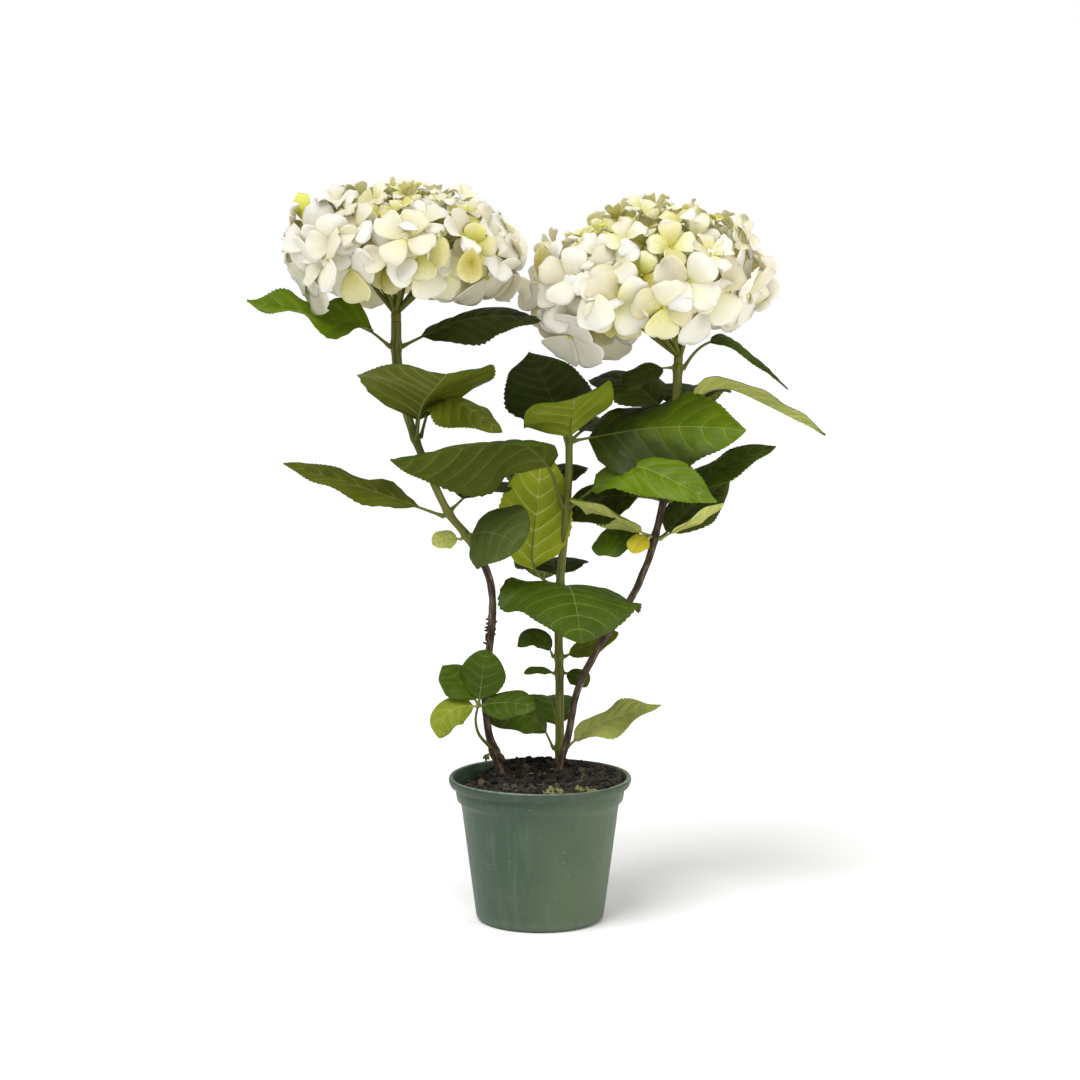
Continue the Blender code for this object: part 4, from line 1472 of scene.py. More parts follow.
def hides_a_mark(head, seat):
    """Whether a floret would cover one of the head's marked petals."""
    if seat.y >= head.centre[1]:
        return False
    return any(
        math.hypot(seat.x - mark.place[0], seat.z - mark.place[2]) < MARK_CLEARING * mark.width
        for mark in head.marks
    )


def bulge(head, spot):
    """How far the dome swells or sinks in a direction: lobes, and smaller uneven lumps."""
    lump = 0.07 * noise.noise(Vector(spot) * 2.6 + Vector((head.seed, 0, 0)))
    lobes = sum(size * max(0.0, spot.dot(Vector(way).normalized())) ** 8 for way, size in head.lobes)
    return 1 + lump + lobes


def floret_seats(head, count, depth, chance):
    """Where florets sit: an even spiral over the dome, as (seat, outward normal, height from -1 to 1)."""
    centre, turning = head_frame(head)
    lowest = math.cos(math.radians(head.lowest_angle))
    for i in range(count):
        height = 1 - (1 - lowest) * (i + 0.5) / count
        around = i * GOLDEN_TURN + chance.uniform(-0.16, 0.16)
        level = math.sqrt(1 - height * height)
        spot = Vector((level * math.cos(around), level * math.sin(around), height))
        radii = Vector(head.radii) * chance.uniform(*depth) * bulge(head, spot)
        seat = centre + turning @ Vector(a * b for a, b in zip(spot, radii))
        normal = turning @ Vector(a / b for a, b in zip(spot, radii)).normalized()
        yield seat, normal, height


def petal_disc(flat):
    """(along from -1 to 1, across) of points of a flat square pattern that is rounded to a disc."""
    p, q = 2 * flat[..., 0], 2 * flat[..., 1]
    return p * np.sqrt(1 - q * q / 2), q * np.sqrt(1 - p * p / 2)


def petal_places(flat, length, width, lift, trough, ripple, ruffle, phase):
    """A petal's points along +X, from the flat pattern: a narrow claw, then widest past its middle."""
    along, across = petal_disc(flat)
    a, rim = (along + 1) / 2, np.hypot(along, across)
    b = across / np.sqrt(np.maximum(1 - along**2, 0.02))
    y = width / 1.6 * across * a**0.42
    x = length * (a + 0.030 * np.cos(2.6 * b + phase) * a**3)
    z = length * (lift * np.sin(a * 1.35) - 0.55 * lift * a**3)
    z = z + trough * width / 2 * across**2
    z = z + ripple * length * a**1.5 * np.sin(3.0 * b + phase) * np.abs(b) ** 0.5
    z = z + 0.6 * ripple * length * np.sin(5.0 * a + 1.7 * phase) * a * b
    around = np.arctan2(across, along)
    z = z + ruffle * length * np.sin(5.0 * around + 2.3 * phase) * rim**4 * a
    z = z + 0.010 * length * np.sin(8.0 * b + 2.0 * phase) * np.sin(math.pi * a)
    return np.column_stack((x, y, z))


def petal_colours():
    """Every petal colour in the order of the shade numbers: the ramp in each mix of painted shade, then
    faded, then lime.
    """
    ramp = between_colours(PETAL_RAMP, RAMP_SHADES)
    shade_mixes = between_colours(((1.0, 1.0, 1.0), DARKEST_PETAL_SHADE), PETAL_SHADE_MIXES)
    shaded_ramps = [tuple(c * m for c, m in zip(colour, mix)) for mix in shade_mixes for colour in ramp]
    return (*shaded_ramps, *between_colours(FADED_PETALS, FADED_SHADES), *LIME_PETALS)


def petal_shades(age, low, along, chance):
    """The shade number of each face of a petal, for a floret's age from 0, green and young, to 1, white."""
    grain = np.array([chance.uniform(-0.4, 0.4) for _ in along])
    start = -0.6 + 5.0 * age + chance.uniform(-1.0, 0.9)
    end = 3.2 + 3.4 * age + chance.uniform(-0.7, 0.9)
    if chance.random() < 0.03:
        start, end = 1.5, 3.6
    share = (start + (end - start) * along**0.7) / (len(PETAL_RAMP) - 1)
    shade = np.clip(np.rint(share * (RAMP_SHADES - 1) + grain), 0, RAMP_SHADES - 1)
    # Painted shade: each petal takes a darker mix drawn at random, more often on the lower florets
    painted_shade = round((chance.uniform(-0.20, 0.80) + 0.35 * low) * (PETAL_SHADE_MIXES - 1))
    return min(PETAL_SHADE_MIXES - 1, max(0, painted_shade)) * RAMP_SHADES + shade


def marked_shades(kind, flat_faces, chance):
    """The shade number of each face of a mark: lime, white, or faded round an olive spot."""
    along, across = petal_disc(flat_faces)
    grain = np.array([chance.uniform(-0.5, 0.5) for _ in along])
    first_faded = RAMP_SHADES * PETAL_SHADE_MIXES
    if kind == "lime":
        return first_faded + FADED_SHADES + (along + 0.5 * grain > 0)
    if kind == "white":
        # White marks take the first mix of painted shade
        return RAMP_SHADES + np.clip(np.rint(RAMP_SHADES - 7 + 3 * (along + 1) + grain), 0, RAMP_SHADES - 1)
    spot = np.hypot(along + 0.15, across * 0.8) ** 0.8
    return first_faded + np.clip(np.rint(0.8 + 0.86 * (FADED_SHADES - 1) * spot + grain), 0, FADED_SHADES - 1)


def mark_places(flat, mark, head, chance):
    """The points of one marked petal, its middle at its place, facing out and forwards."""
    middle = Vector(mark.place)
    out = middle - Vector(head.centre)
    facing = Vector((out.x / head.radii[0], -1.1, 0.5 * out.z / head.radii[2])).normalized()
    lean = math.radians(mark.lean)
    tipward = Vector((math.sin(lean), 0.0, math.cos(lean)))
    tipward = (tipward - facing * tipward.dot(facing)).normalized()
    turn = np.array(Matrix((tipward, facing.cross(tipward), facing)).transposed())
    places = petal_places(flat, mark.length, mark.width, 0.12, -0.14, 0.06, 0.03, chance.uniform(0, ANY_TURN))
    return (places - (mark.length * 0.52, 0, 0)) @ turn.T + np.array(mark.place)


def floret_petals(flat, seat, facing, reach, low, chance):
    """The points of a floret's four petals, one pair over the other."""
    first_turn = Matrix.Rotation(chance.uniform(0, math.pi / 2), 3, "Z")
    stand = facing.to_track_quat("Z", "X").to_matrix() @ first_turn
    lift = chance.uniform(0.35, 1.00) * (1 - low) ** 1.2 + 0.12
    for k in range(4):
        places = petal_places(
            flat,
            reach * chance.uniform(0.92, 1.06),
            reach * chance.uniform(0.92, 1.16) * (0.82 + 0.26 * low),
            lift + chance.uniform(-0.06, 0.14) + (0.05 if k % 2 else 0.0),
            chance.uniform(-0.30, 0.34),
            chance.uniform(0.03, 0.10) * (2.1 - 1.5 * low),
            chance.uniform(0.01, 0.06) * (1.4 - 0.6 * low),
            chance.uniform(0, ANY_TURN),
        )
        spin = Matrix.Rotation(k * math.pi / 2 + chance.uniform(-0.16, 0.16), 3, "Z")
        tip = Matrix.Rotation(chance.uniform(-0.16, 0.16), 3, "X")
        lay = np.array(stand @ spin @ tip)
        yield places @ lay.T + np.array(seat) + np.array(facing) * (0.0007 if k % 2 else 0.0)


def petals_piece(head, settings):
    """(piece, florets) of a head: all its petals, thickened, and each floret's (place, facing, reach)."""
    chance = random.Random(head.seed)
    lowest = math.cos(math.radians(head.lowest_angle))
    flat, faces = pattern(
        bpy.ops.mesh.primitive_grid_add, x_subdivisions=PETAL_STEPS, y_subdivisions=PETAL_STEPS, size=1.0
    )
    along = (petal_disc(flat[faces].mean(axis=1))[0] + 1) / 2
    shapes, shades, florets = [], [], []
    seats = [(*seat, False) for seat in floret_seats(head, settings.florets, OUTER_DEPTHS, chance)]
    seats += [(*seat, True) for seat in floret_seats(head, settings.inner, INNER_DEPTHS, chance)]
    crown = floret_seats(head, settings.inner, CROWN_DEPTHS, chance)
    seats += [(*seat, True) for seat in crown if seat[2] > CROWN_HEIGHT]
    for seat, normal, height, inner in seats:
        if in_front_of_stem(head, seat, height) or hides_a_mark(head, seat):
            continue
        low = (1 - height) / (1 - lowest)
        aside = (seat.x - head.centre[0] - POCKET_SHIFT) / POCKET_WIDTH
        pocket = math.exp(-(aside**2)) * (0.35 + 1.6 * low * (1 - low))
        age = 0.60 + 0.42 * low - head.green * pocket + chance.uniform(-0.18, 0.16)
        young = chance.random() < 0.15 + 0.25 * pocket
        if young:
            age -= 0.62
        age = min(1.0, max(0.0, age * (0.68 - 0.34 * low if inner else 1.0)))
        reach = head.petal * (0.60 + 0.58 * low**1.2) * chance.uniform(0.84, 1.08)
        if inner or young:
            reach *= 0.80
        loose = 0.62 - 0.24 * low
        outward = normal + Vector((0, math.copysign(0.42, normal.y - 0.1), 0)) * low
        facing = (outward + Vector(chance.uniform(-loose, loose) for _ in range(3))).normalized()
        for places in floret_petals(flat, seat, facing, reach, low, chance):
            shapes.append((places, faces))
            shades.append(petal_shades(age, low, along, chance))
        florets.append((seat, facing, reach))
    fine, fine_faces = pattern(
        bpy.ops.mesh.primitive_grid_add, x_subdivisions=MARK_STEPS, y_subdivisions=MARK_STEPS, size=1.0
    )
    for mark in head.marks:
        shapes.append((mark_places(fine, mark, head, chance), fine_faces))
        shades.append(marked_shades(mark.kind, fine[fine_faces].mean(axis=1), chance))
    for x, y, z in head.buds:
        bud = Vector((x, y, z))
        for places in floret_petals(flat, bud, Vector((0.1, -0.1, 1)).normalized(), BUD_REACH, -0.35, chance):
            shapes.append((places, faces))
            shades.append(marked_shades("lime", flat[faces].mean(axis=1), chance))
        florets.append((bud, Vector((0, 0, 1)), 0.02))
    finishes = [
        finish_named(f"petal_shade_{number}", petal_finish, f"petal_shade_{number}", colour)
        for number, colour in enumerate(petal_colours())
    ]
    petals = copies(head.name + "_petals", shapes, shades, finishes)
    apply_modifier(petals, "thickness", "SOLIDIFY", thickness=settings.thickness, offset=0.0)
    smooth(petals)
    return petals, florets


def hearts_piece(head, florets):
    """The small closed flower in the middle of each floret."""
    ball, faces = pattern(bpy.ops.mesh.primitive_ico_sphere_add, subdivisions=2, radius=1.0)
    chance = random.Random(head.seed + 3)
    shapes, numbers = [], []
    for place, facing, reach in florets:
        size = 0.0010 + 0.030 * reach * chance.uniform(0.8, 1.2)
        stand = np.array(facing.to_track_quat("Z", "X").to_matrix())
        heart = (ball * (size, size, size * 1.25)) @ stand.T
        shapes.append((heart + np.array(place + facing * 0.0012), faces))
        numbers.append(np.full(len(faces), 0 if chance.random() < 0.6 else 1))
    finishes = [finish_named(name, petal_finish, name, colour) for name, colour in HEART_COLOURS]
    hearts = copies(head.name + "_hearts", shapes, numbers, finishes)
    smooth(hearts)
    return hearts


def head_stalks(head, florets):
    """The rays that fork from the stem's tip, and a fine stalk from a ray to every floret."""
    chance = random.Random(head.seed + 1)
    limb = limb_named(head.limb)
    tip, onward = joint(limb, 1.0)
    fork = tip + onward * FORK_RISE
    centre, turning = head_frame(head)
    trunk = [tip + onward * rise for rise in (-0.005, 0.0008, 0.004)] + [fork]
    runs = [(trunk, [limb.tip_radius * share for share in (0.88, 0.95, 1.0, 0.92)], 0)]
    ends = []
    for i in range(RAYS):
        around = i * GOLDEN_TURN
        out = 0.50 if i else 0.08
        spread = Vector((math.cos(around) * head.radii[0], math.sin(around) * head.radii[1], 0.0)) * out
        end = centre + turning @ (spread + Vector((0, 0, head.radii[2] * (0.10 if i else 0.30))))
        start = fork + Vector((math.cos(around), math.sin(around), 0.0)) * 0.0016
        bow = start.lerp(end, 0.45) + Vector((spread.x, spread.y, 0.0)) * 0.10
        line = [through((start, bow, end), s / RAY_STEPS) for s in range(RAY_STEPS + 1)]
        runs.append((line, [0.0024 - 0.0009 * s / RAY_STEPS for s in range(RAY_STEPS + 1)], 0))
        ends += [Vector(place) for place in line[RAY_STEPS // 2 :]]
    for seat, facing, _ in florets:
        start = min(ends, key=lambda end: (end - seat).length)
        back = seat - facing * 0.012
        bend = start.lerp(back, 0.55) + Vector(chance.uniform(-0.003, 0.003) for _ in range(3))
        line = [through((start, bend, back, seat), s / STALK_STEPS) for s in range(STALK_STEPS + 1)]
        runs.append((line, [0.00105 - 0.00045 * s / STALK_STEPS for s in range(STALK_STEPS + 1)], 1))
    ray = finish_named("flower_ray", vein_finish, "flower_ray", RAY_COLOUR, 0.46)
    fine = finish_named("flower_stalk", vein_finish, "flower_stalk", FLORET_STALK_COLOUR, 0.50)
    obj = tubes(head.name + "_stalks", runs, (ray, fine), 1)
    smooth(obj)
    return obj


def pot_profile(settings):
    """The pot's outline from the middle of its underside, up the outside, over the lip, down to its floor."""
    height, rim = settings.height, settings.rim_radius
    collar = rim - LIP_OVERHANG
    collar_foot = height - COLLAR_HEIGHT
    top_radius = collar - COLLAR_STEP

    def wall(z):
        return settings.base_radius + (top_radius - settings.base_radius) * z / collar_foot

    outside = [
        (settings.base_radius - 0.0095, 0.0012),
        (settings.base_radius - 0.0085, 0.0),
        (settings.base_radius - FOOT_BEVEL, 0.0),
        (settings.base_radius - FOOT_BEVEL * 0.62, FOOT_BEVEL * 0.10),
        (settings.base_radius - FOOT_BEVEL * 0.30, FOOT_BEVEL * 0.36),
        (wall(FOOT_BEVEL) - 0.0002, FOOT_BEVEL * 0.80),
        (wall(FOOT_BEVEL * 1.4), FOOT_BEVEL * 1.4),
        *((wall(collar_foot * s), collar_foot * s) for s in (0.15, 0.35, 0.55, 0.75, 0.92)),
        (wall(collar_foot) - 0.0001, collar_foot - 0.0016),
        (wall(collar_foot) + 0.0004, collar_foot - 0.0004),
        (wall(collar_foot) + 0.0019, collar_foot + 0.0016),
        (collar - 0.0021, collar_foot + 0.0032),
        (collar - 0.0017, collar_foot + 0.0050),
        (collar - 0.0006, height - LIP_HEIGHT - 0.0040),
        (collar - 0.0010, height - LIP_HEIGHT - 0.0020),
        (collar - 0.0006, height - LIP_HEIGHT - 0.0006),
        (rim - 0.0032, height - LIP_HEIGHT + 0.0002),
        (rim - 0.0017, height - LIP_HEIGHT + 0.0012),
        (rim - 0.0006, height - LIP_HEIGHT * 0.62),
        (rim, height - 0.0034),
        (rim - 0.0002, height - 0.0016),
        (rim - 0.0010, height - 0.0003),
        (rim - 0.0020, height),
        (rim - 0.0034, height - 0.0002),
        (rim - 0.0045, height - 0.0012),
    ]
    inside = [
        (collar + 0.0012 - POT_WALL, height - LIP_HEIGHT + 0.0008),
        (collar + 0.0003 - POT_WALL, height - LIP_HEIGHT - 0.0010),
        (collar - 0.0022 - POT_WALL, collar_foot + 0.0040),
        (wall(collar_foot) - POT_WALL, collar_foot),
        (wall(FOOT_BEVEL) - POT_WALL, FOOT_BEVEL + POT_WALL),
        (settings.base_radius - FOOT_BEVEL, POT_WALL + 0.0014),
    ]
    return outside + inside


def extrude_rings(obj, profile):
    """Extrudes the object's open ring through the rest of the profile and fills the last ring."""
    select_only(obj)
    bpy.ops.object.mode_set(mode="EDIT")
    bpy.ops.mesh.select_all(action="SELECT")
    for (radius, height), (next_radius, next_height) in zip(profile, profile[1:]):
        bpy.ops.mesh.extrude_region_move(TRANSFORM_OT_translate={"value": (0, 0, next_height - height)})
        share = next_radius / radius
        bpy.ops.transform.resize(value=(share, share, 1), center_override=(0, 0, next_height))
    bpy.ops.mesh.edge_face_add()
    bpy.ops.object.mode_set(mode="OBJECT")


def ring_start(name, radius, height, steps):
    """An open ring about Z, for a turned shape to grow from."""
    select_only()
    bpy.ops.mesh.primitive_circle_add(
        vertices=steps, radius=radius, location=(0, 0, height), fill_type="NOTHING"
    )
    ring = named(bpy.context.active_object, name)
    bpy.ops.object.transform_apply(location=True)
    return ring


def close_first_ring(obj):
    """Fills the ring that the extrusion started from, which is still open."""
    select_only(obj)
    bpy.ops.object.mode_set(mode="EDIT")
    bm = bmesh.from_edit_mesh(obj.data)
    for item in (*bm.verts, *bm.edges, *bm.faces):
        item.select = False
    for edge in bm.edges:
        if edge.is_boundary:
            edge.select = True
    bm.select_flush_mode()
    bmesh.update_edit_mesh(obj.data)
    bpy.ops.mesh.edge_face_add()
    bpy.ops.mesh.select_all(action="SELECT")
    bpy.ops.mesh.normals_make_consistent(inside=False)
    bpy.ops.object.mode_set(mode="OBJECT")


class HYDRANGEA_OT_pot(Operator):
    """Model the nursery pot: foot, tapering wall, collar band and rolled lip"""

    bl_idname = "hydrangea.pot"
    bl_label = "Pot"

    def execute(self, context):
        settings = context.scene.hydrangea_pot
        profile = pot_profile(settings)
        pot = ring_start("nursery_pot", *profile[0], POT_STEPS)
        extrude_rings(pot, profile)
        close_first_ring(pot)
        places = points_of(pot)
        around = np.arctan2(places[:, 1], places[:, 0])
        share = np.clip(places[:, 2] / settings.height, 0, 1)
        oval = 1 + 0.0035 * share * np.cos(2 * around + 0.6) - 0.0030 * share
        sway = 0.00035 * share**3 * np.sin(3 * around + 1.0)
        places[:, :2] *= oval[:, None]
        places[:, 2] += np.where(places[:, 2] > 0.1, sway - 0.0003, 0.0)
        set_points(pot, places)
        pot.data.materials.append(plastic_finish(settings))
        smooth(pot, 40)
        settle(pot, "pot_plastic", "pot")
        return {"FINISHED"}


def nearness_to_stems(x, y):
    """How near a place on the soil is to the stems' feet: 1 in the middle of one, fading all round."""
    return sum(
        math.exp(-(((x - limb.places[1][0]) ** 2 + (y - limb.places[1][1]) ** 2) / STEM_MOUND**2))
        for limb in LIMBS
    )


class HYDRANGEA_OT_soil(Operator):
    """Model the lumpy surface of the potting soil"""

    bl_idname = "hydrangea.soil"
    bl_label = "Soil"

    def execute(self, context):
        settings = context.scene.hydrangea_soil
        pot = context.scene.hydrangea_pot
        edge = pot.rim_radius - LIP_OVERHANG - POT_WALL - 0.0012
        profile = [(edge - 0.004, 0.1095), (edge - 0.0018, 0.1140)]
        profile += [(edge * (1 - (i / SOIL_RINGS) ** 0.9) + 0.0002, SOIL_TOP) for i in range(SOIL_RINGS + 1)]
        soil = ring_start("loose_soil", *profile[0], SOIL_STEPS)
        extrude_rings(soil, profile)
        close_first_ring(soil)
        places = points_of(soil)
        for i, (x, y, z) in enumerate(places):
            if z < SOIL_TOP - 0.001:
                continue
            radius = math.hypot(x, y)
            lumps = noise.fractal(Vector((x * 85, y * 85, 0.7)), 0.9, 2.0, 4)
            clods = noise.noise(Vector((x * 330, y * 330, 4.2)))
            drop = 0.0040 * smooth_step((radius - 0.050) / 0.026)
            heap = SOIL_HEAP * smooth_step((0.8 * y + 0.6 * x + 0.016) / 0.070)
            drop *= 1 - 0.65 * heap / SOIL_HEAP
            rough = settings.lumps * (0.9 * lumps + 0.35 * clods)
            places[i, 2] = z - 0.0016 + heap - drop + rough + 0.0020 * nearness_to_stems(x, y)
        set_points(soil, places)
        soil.data.materials.append(peat_finish(settings))
        smooth(soil)
        settle(soil, "soil", "potting_soil")
        return {"FINISHED"}


def soil_height(x, y):
    """The soil's height at a place, read from the finished surface."""
    soil = bpy.data.objects["loose_soil"]
    hit, place, _, _ = soil.ray_cast(Vector((x, y, 0.2)), Vector((0, 0, -1)))
    return place.z if hit else SOIL_TOP - 0.004


class HYDRANGEA_OT_litter(Operator):
    """Scatter crumbs, clods, tufts of moss, a dead twig and fibres on the soil"""

    bl_idname = "hydrangea.litter"
    bl_label = "Soil litter"

    def execute(self, context):
        settings = context.scene.hydrangea_soil
        chance = random.Random(11)
        ball, faces = pattern(bpy.ops.mesh.primitive_ico_sphere_add, subdivisions=2, radius=1.0)
        lumps = []
        for k in range(3):
            wobble = [1 + 0.34 * noise.noise(Vector(p) * 1.7 + Vector((k * 7.1, 0, 0))) for p in ball]
            lumps.append(ball * np.array(wobble)[:, None])
        shapes, numbers = [], []
        for i in range(settings.crumbs):
            radius = CRUMB_SPREAD * math.sqrt(chance.random())
            around = chance.uniform(0, 2 * math.pi)
            x, y = radius * math.cos(around), radius * math.sin(around)
            size = chance.uniform(0.0007, 0.0021) * (1.8 if chance.random() < 0.12 else 1.0)
            if i % BIG_CRUMB_EVERY == 0:
                size = chance.uniform(0.0022, 0.0038)
            rise = size * 0.3
            if i % BACK_CLOD_EVERY == 0:
                x, y = chance.gauss(BACK_CLODS[0], 0.012), chance.gauss(BACK_CLODS[1], 0.003)
                size, rise = chance.uniform(0.0020, 0.0034), chance.uniform(0.0002, 0.0020)
            mossy = i % MOSSY_CRUMB_EVERY == 5
            if mossy:
                near = MOSS_PATCH if i % 2 else SCRAP_PATCH
                x, y = chance.gauss(near[0], 0.007), chance.gauss(near[1], 0.004)
                size = chance.uniform(0.0016, 0.0032)
            stretch = np.array([chance.uniform(0.7, 1.6), chance.uniform(0.6, 1.1), chance.uniform(0.5, 1.0)])
            tumble = [chance.uniform(0, ANY_TURN) for _ in range(3)]
            turn = np.array(Matrix.Rotation(tumble[0], 3, "X") @ Matrix.Rotation(tumble[1], 3, "Z"))
            lump = (lumps[i % 3] * stretch * size) @ turn.T
            shapes.append((lump + (x, y, soil_height(x, y) + rise), faces))
            kind = 3 if mossy else 0 if chance.random() < 0.62 else 1 if chance.random() < 0.75 else 2
            numbers.append(np.full(len(faces), kind))
        finishes = [crumb_finish(name, colour) for name, colour in CRUMB_COLOURS]
        crumbs = copies("soil_crumbs", shapes, numbers, finishes)
        smooth(crumbs)
        settle(crumbs, "soil")

        twig_line = []
        for s in range(TWIG_STEPS + 1):
            x = -0.012 + 0.030 * s / TWIG_STEPS
            y = 0.016 - 0.004 * math.sin(s * 0.5) + 0.004 * s / TWIG_STEPS
            twig_line.append((x, y, soil_height(x, y) + 0.0016 + 0.0006 * math.sin(s * 0.8)))
        fibres = [(twig_line, [0.0009 - 0.00004 * s for s in range(TWIG_STEPS + 1)], 0)]
        for _ in range(FIBRES):
            radius = FIBRE_SPREAD * math.sqrt(chance.random())
            around, way = chance.uniform(0, ANY_TURN), chance.uniform(0, ANY_TURN)
            run = []
            for s in range(len(FIBRE_RADII)):
                reach = (s - 2) * chance.uniform(0.0012, 0.0030)
                x = radius * math.cos(around) + reach * math.cos(way + 0.2 * s)
                y = radius * math.sin(around) + reach * math.sin(way + 0.2 * s)
                run.append((x, y, soil_height(x, y) + 0.0010 + 0.0006 * (s % 2)))
            fibres.append((run, FIBRE_RADII, chance.randrange(2)))
        dead = crumb_finish("dead_twig", DEAD_TWIG_COLOUR)
        brown = crumb_finish("brown_fibre", FIBRE_COLOUR)
        twig = tubes("dead_twigs", fibres, (dead, brown), 1)
        smooth(twig)
        settle(twig, "bark")
        return {"FINISHED"}


class HYDRANGEA_OT_stems(Operator):
    """Model the three stems with bark below and green shoots above"""

    bl_idname = "hydrangea.stems"
    bl_label = "Stems"

    def execute(self, context):
        settings = context.scene.hydrangea_stems
        for limb in LIMBS:
            settle(stem_piece(limb, settings), "bark", limb.name)
        shreds = bark_shreds(settings)
        smooth(shreds)
        settle(shreds, "bark")
        return {"FINISHED"}


def leaves_of(limb_name):
    """(leaf, root, the stem's middle there) for each leaf on a limb's joints."""
    limb = limb_named(limb_name)
    found = []
    for mass in LEAF_MASSES:
        if mass.limb == limb_name:
            heart, _ = joint(limb, limb_share(limb, mass.height))
            found += [(leaf, leaf_root(limb, mass.height, leaf.turn), heart) for leaf in mass.leaves]
    return found


def foot_shoot_line():
    """The places of the foot shoot, from the left stem's side to its tip."""
    limb = limb_named("left_stem")
    share = limb_share(limb, FOOT_SHOOT_HEIGHT)
    centre, along = joint(limb, share)
    outward = Vector(FOOT_SHOOT_PLACES[0]) - centre
    outward = (outward - along * outward.dot(along)).normalized()
    return (tuple(centre + outward * limb_radius(limb, share) * 0.7), *FOOT_SHOOT_PLACES)


class HYDRANGEA_OT_leaves(Operator):
    """Model the leaves and leaf stalks of one stem"""

    bl_idname = "hydrangea.leaves"
    bl_label = "Leaves"

    limb: StringProperty(name="Stem", description="The stem that carries the leaves", default="left_stem")

    def execute(self, context):
        settings = context.scene.hydrangea_leaves
        side = self.limb.split("_")[0]
        found = leaves_of(self.limb)
        nodes = [mass.name for mass in LEAF_MASSES if mass.limb == self.limb]
        runs = []
        if side == "left":
            line = foot_shoot_line()
            for i, leaf in enumerate(FOOT_SHOOT_LEAVES):
                root = Vector(through(line, 0.97 - 0.05 * (i // 2)))
                found.append((leaf, root, root - Vector((0, 0, 0.0005))))
            places = [through(line, s / FOOT_SHOOT_STEPS) for s in range(FOOT_SHOOT_STEPS + 1)]
            radii = [FOOT_SHOOT_RADIUS * (1.25 - 0.03 * s) for s in range(FOOT_SHOOT_STEPS + 1)]
            runs.append((places, radii, 0))
            nodes.append("left_foot_spray")
        chance = random.Random(len(found) + len(side))
        blades = []
        for i, (leaf, root, heart) in enumerate(found):
            spine = leaf_spine(leaf, root)
            blades.append(leaf_blade(f"{side}_leaf_{i}", leaf, spine, settings, chance))
            pale = leaf.under in ("pale", "yellow") or leaf.tone in ("young", "yellow")
            runs.append(leaf_stalk_run(leaf, spine, heart, 1 if pale else 0))
        settle(joined(blades, f"{side}_leaf_blades"), "leaf", *nodes)
        green = finish_named("leaf_stalk", vein_finish, "leaf_stalk", LEAF_STALK_COLOUR, 0.46)
        pale = finish_named("pale_leaf_stalk", vein_finish, "pale_leaf_stalk", PALE_STALK_COLOUR, 0.48)
        stalks = tubes(f"{side}_leaf_stalks", runs, (green, pale), 1)
        smooth(stalks)
        settle(stalks, "leaf", *nodes)
        return {"FINISHED"}


class HYDRANGEA_OT_flower_head(Operator):
    """Model one flower head: petals, flower hearts, rays and stalks"""

    bl_idname = "hydrangea.flower_head"
    bl_label = "Flower head"

    head: StringProperty(name="Head", description="The flower head to model", default="left_flower_head")

    def execute(self, context):
        settings = context.scene.hydrangea_flowers
        head = next(head for head in FLOWER_HEADS if head.name == self.head)
        petals, florets = petals_piece(head, settings)
        settle(petals, "petal", head.name)
        settle(hearts_piece(head, florets), "petal", head.name)
        settle(head_stalks(head, florets), "leaf", head.name)
        return {"FINISHED"}


def area_light(name, place, target, size, power, colour=(1.0, 1.0, 1.0)):
    select_only()
    bpy.ops.object.light_add(type="AREA", location=place)
    light = bpy.context.active_object
    light.name = name
    light.data.shape = "DISK"
    light.data.size = size
    light.data.energy = power
    light.data.color = colour
    light.rotation_euler = (Vector(target) - Vector(place)).to_track_quat("-Z", "Y").to_euler()
    return light


def sun_light(name, place, power, spread):
    """An even light from the direction of a place, its shadows softened by a spread in degrees."""
    select_only()
    bpy.ops.object.light_add(type="SUN", location=place)
    light = bpy.context.active_object
    light.name = name
    light.data.energy = power
    light.data.angle = math.radians(spread)
    light.rotation_euler = (-Vector(place)).to_track_quat("-Z", "Y").to_euler()
    return light


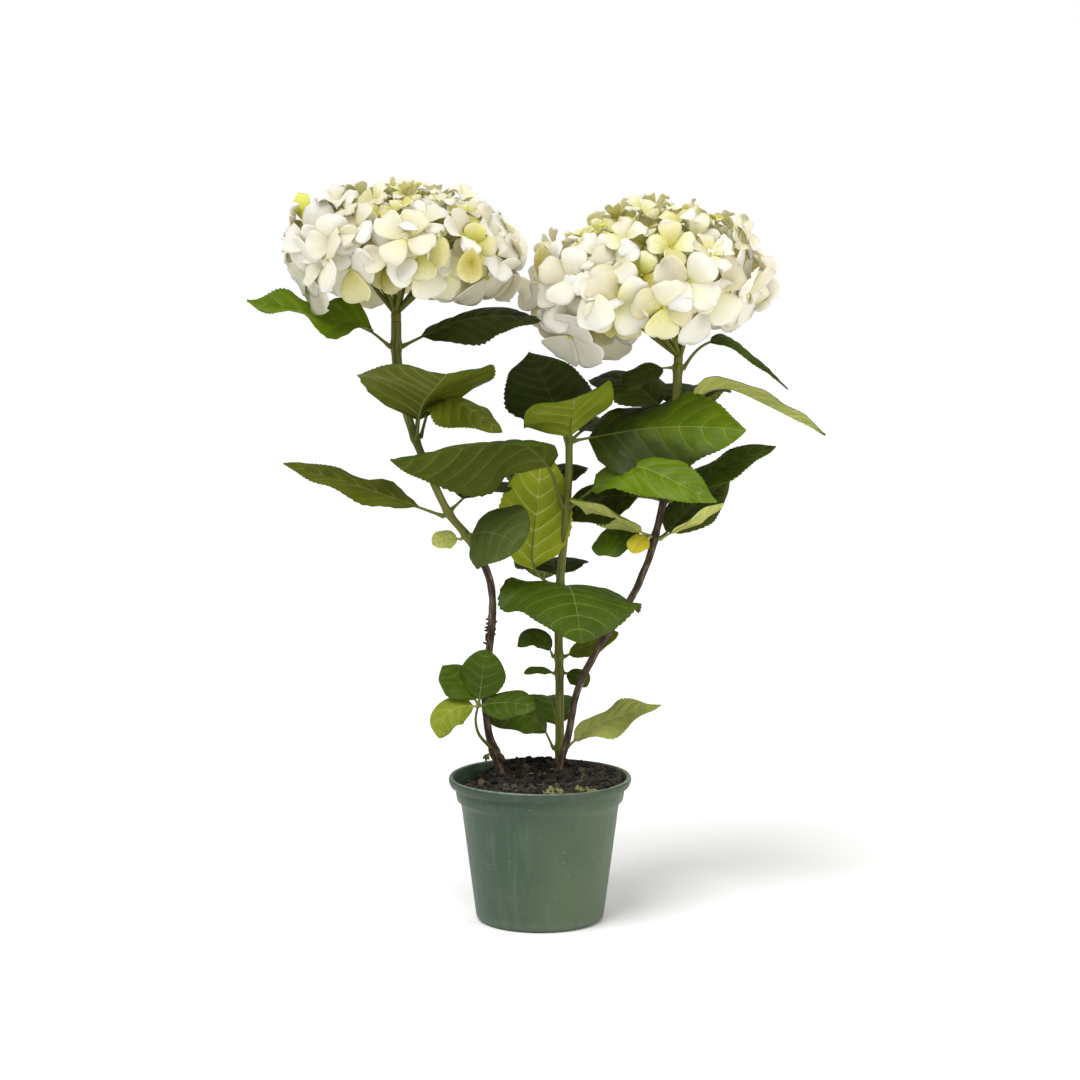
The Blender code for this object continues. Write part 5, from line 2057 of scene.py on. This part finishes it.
class HYDRANGEA_OT_stage(Operator):
    """Set up the pale floor, the soft studio light and the camera"""

    bl_idname = "hydrangea.stage"
    bl_label = "Stage"

    def execute(self, context):
        settings = context.scene.hydrangea_stage
        select_only()
        bpy.ops.mesh.primitive_circle_add(
            vertices=64, radius=FLOOR_RADIUS, fill_type="NGON", location=(0, 0, -FLOOR_DROP)
        )
        floor = named(bpy.context.active_object, "studio_floor")
        floor.data.materials.append(floor_finish())
        floor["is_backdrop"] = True
        sun_light("key", (-0.70, -0.95, 1.9), 2.45, 36)
        area_light("fill", (1.7, -1.3, 0.9), (0, 0, 0.35), 1.4, 15, (1.0, 0.97, 0.92))
        back = area_light("back", (0.5, 1.8, 1.7), (0, 0, 0.40), 1.2, 8)
        back.visible_glossy = False
        world = bpy.data.worlds.new("studio")
        world.use_nodes = True
        nodes, links = world.node_tree.nodes, world.node_tree.links
        room = nodes["Background"]
        room.inputs["Color"].default_value = (1.0, 1.0, 1.0, 1.0)
        room.inputs["Strength"].default_value = 0.55
        seen = nodes.new("ShaderNodeBackground")
        seen.inputs["Color"].default_value = (1.0, 1.0, 1.0, 1.0)
        seen.inputs["Strength"].default_value = 1.0
        dim = nodes.new("ShaderNodeBackground")
        dim.inputs["Strength"].default_value = 0.30
        path = nodes.new("ShaderNodeLightPath")
        lit, whole = nodes.new("ShaderNodeMixShader"), nodes.new("ShaderNodeMixShader")
        links.new(path.outputs["Is Glossy Ray"], lit.inputs[0])
        links.new(room.outputs[0], lit.inputs[1])
        links.new(dim.outputs[0], lit.inputs[2])
        links.new(path.outputs["Is Camera Ray"], whole.inputs[0])
        links.new(lit.outputs[0], whole.inputs[1])
        links.new(seen.outputs[0], whole.inputs[2])
        links.new(whole.outputs[0], nodes["World Output"].inputs["Surface"])
        context.scene.world = world
        context.scene.view_settings.view_transform = "Standard"
        bpy.ops.object.camera_add(
            location=(0, -settings.distance, settings.height),
            rotation=(math.pi / 2 - settings.pitch, 0, 0),
        )
        camera = bpy.context.active_object
        camera.data.lens = settings.lens
        camera.data.sensor_width = 36.0
        context.scene.camera = camera
        return {"FINISHED"}


class HYDRANGEA_PT_panel(Panel):
    """The pieces of the plant and the sizes and colours that they are made from"""

    bl_label = "Hydrangea"
    bl_idname = "HYDRANGEA_PT_panel"
    bl_space_type = "VIEW_3D"
    bl_region_type = "UI"
    bl_category = "Hydrangea"

    def draw(self, context):
        layout = self.layout
        scene = context.scene
        for operator, settings in (
            ("hydrangea.pot", scene.hydrangea_pot),
            ("hydrangea.soil", scene.hydrangea_soil),
            ("hydrangea.litter", None),
            ("hydrangea.stems", scene.hydrangea_stems),
            ("hydrangea.leaves", scene.hydrangea_leaves),
            ("hydrangea.flower_head", scene.hydrangea_flowers),
            ("hydrangea.stage", scene.hydrangea_stage),
        ):
            box = layout.box()
            box.operator(operator)
            if settings:
                for name in settings.bl_rna.properties.keys():
                    if name not in ("rna_type", "name"):
                        box.prop(settings, name)


SETTINGS = {
    "hydrangea_pot": PotSettings,
    "hydrangea_soil": SoilSettings,
    "hydrangea_stems": StemSettings,
    "hydrangea_leaves": LeafSettings,
    "hydrangea_flowers": FlowerSettings,
    "hydrangea_stage": StageSettings,
}
OPERATORS = (
    HYDRANGEA_OT_pot,
    HYDRANGEA_OT_soil,
    HYDRANGEA_OT_litter,
    HYDRANGEA_OT_stems,
    HYDRANGEA_OT_leaves,
    HYDRANGEA_OT_flower_head,
    HYDRANGEA_OT_stage,
)


def register():
    for kind in (*SETTINGS.values(), *OPERATORS, HYDRANGEA_PT_panel):
        bpy.utils.register_class(kind)
    for name, kind in SETTINGS.items():
        setattr(bpy.types.Scene, name, PointerProperty(type=kind))


def unregister():
    for name in SETTINGS:
        delattr(bpy.types.Scene, name)
    for kind in reversed((*SETTINGS.values(), *OPERATORS, HYDRANGEA_PT_panel)):
        bpy.utils.unregister_class(kind)


def main():
    register()
    bpy.ops.hydrangea.stage()
    bpy.ops.hydrangea.pot()
    bpy.ops.hydrangea.soil()
    bpy.ops.hydrangea.litter()
    bpy.ops.hydrangea.stems()
    for limb in LIMBS:
        bpy.ops.hydrangea.leaves(limb=limb.name)
    for head in FLOWER_HEADS:
        bpy.ops.hydrangea.flower_head(head=head.name)
    box = [[list(corner) for corner in pair] for pair in (CAD_BOX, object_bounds())]


if __name__ == "__main__":
    main()
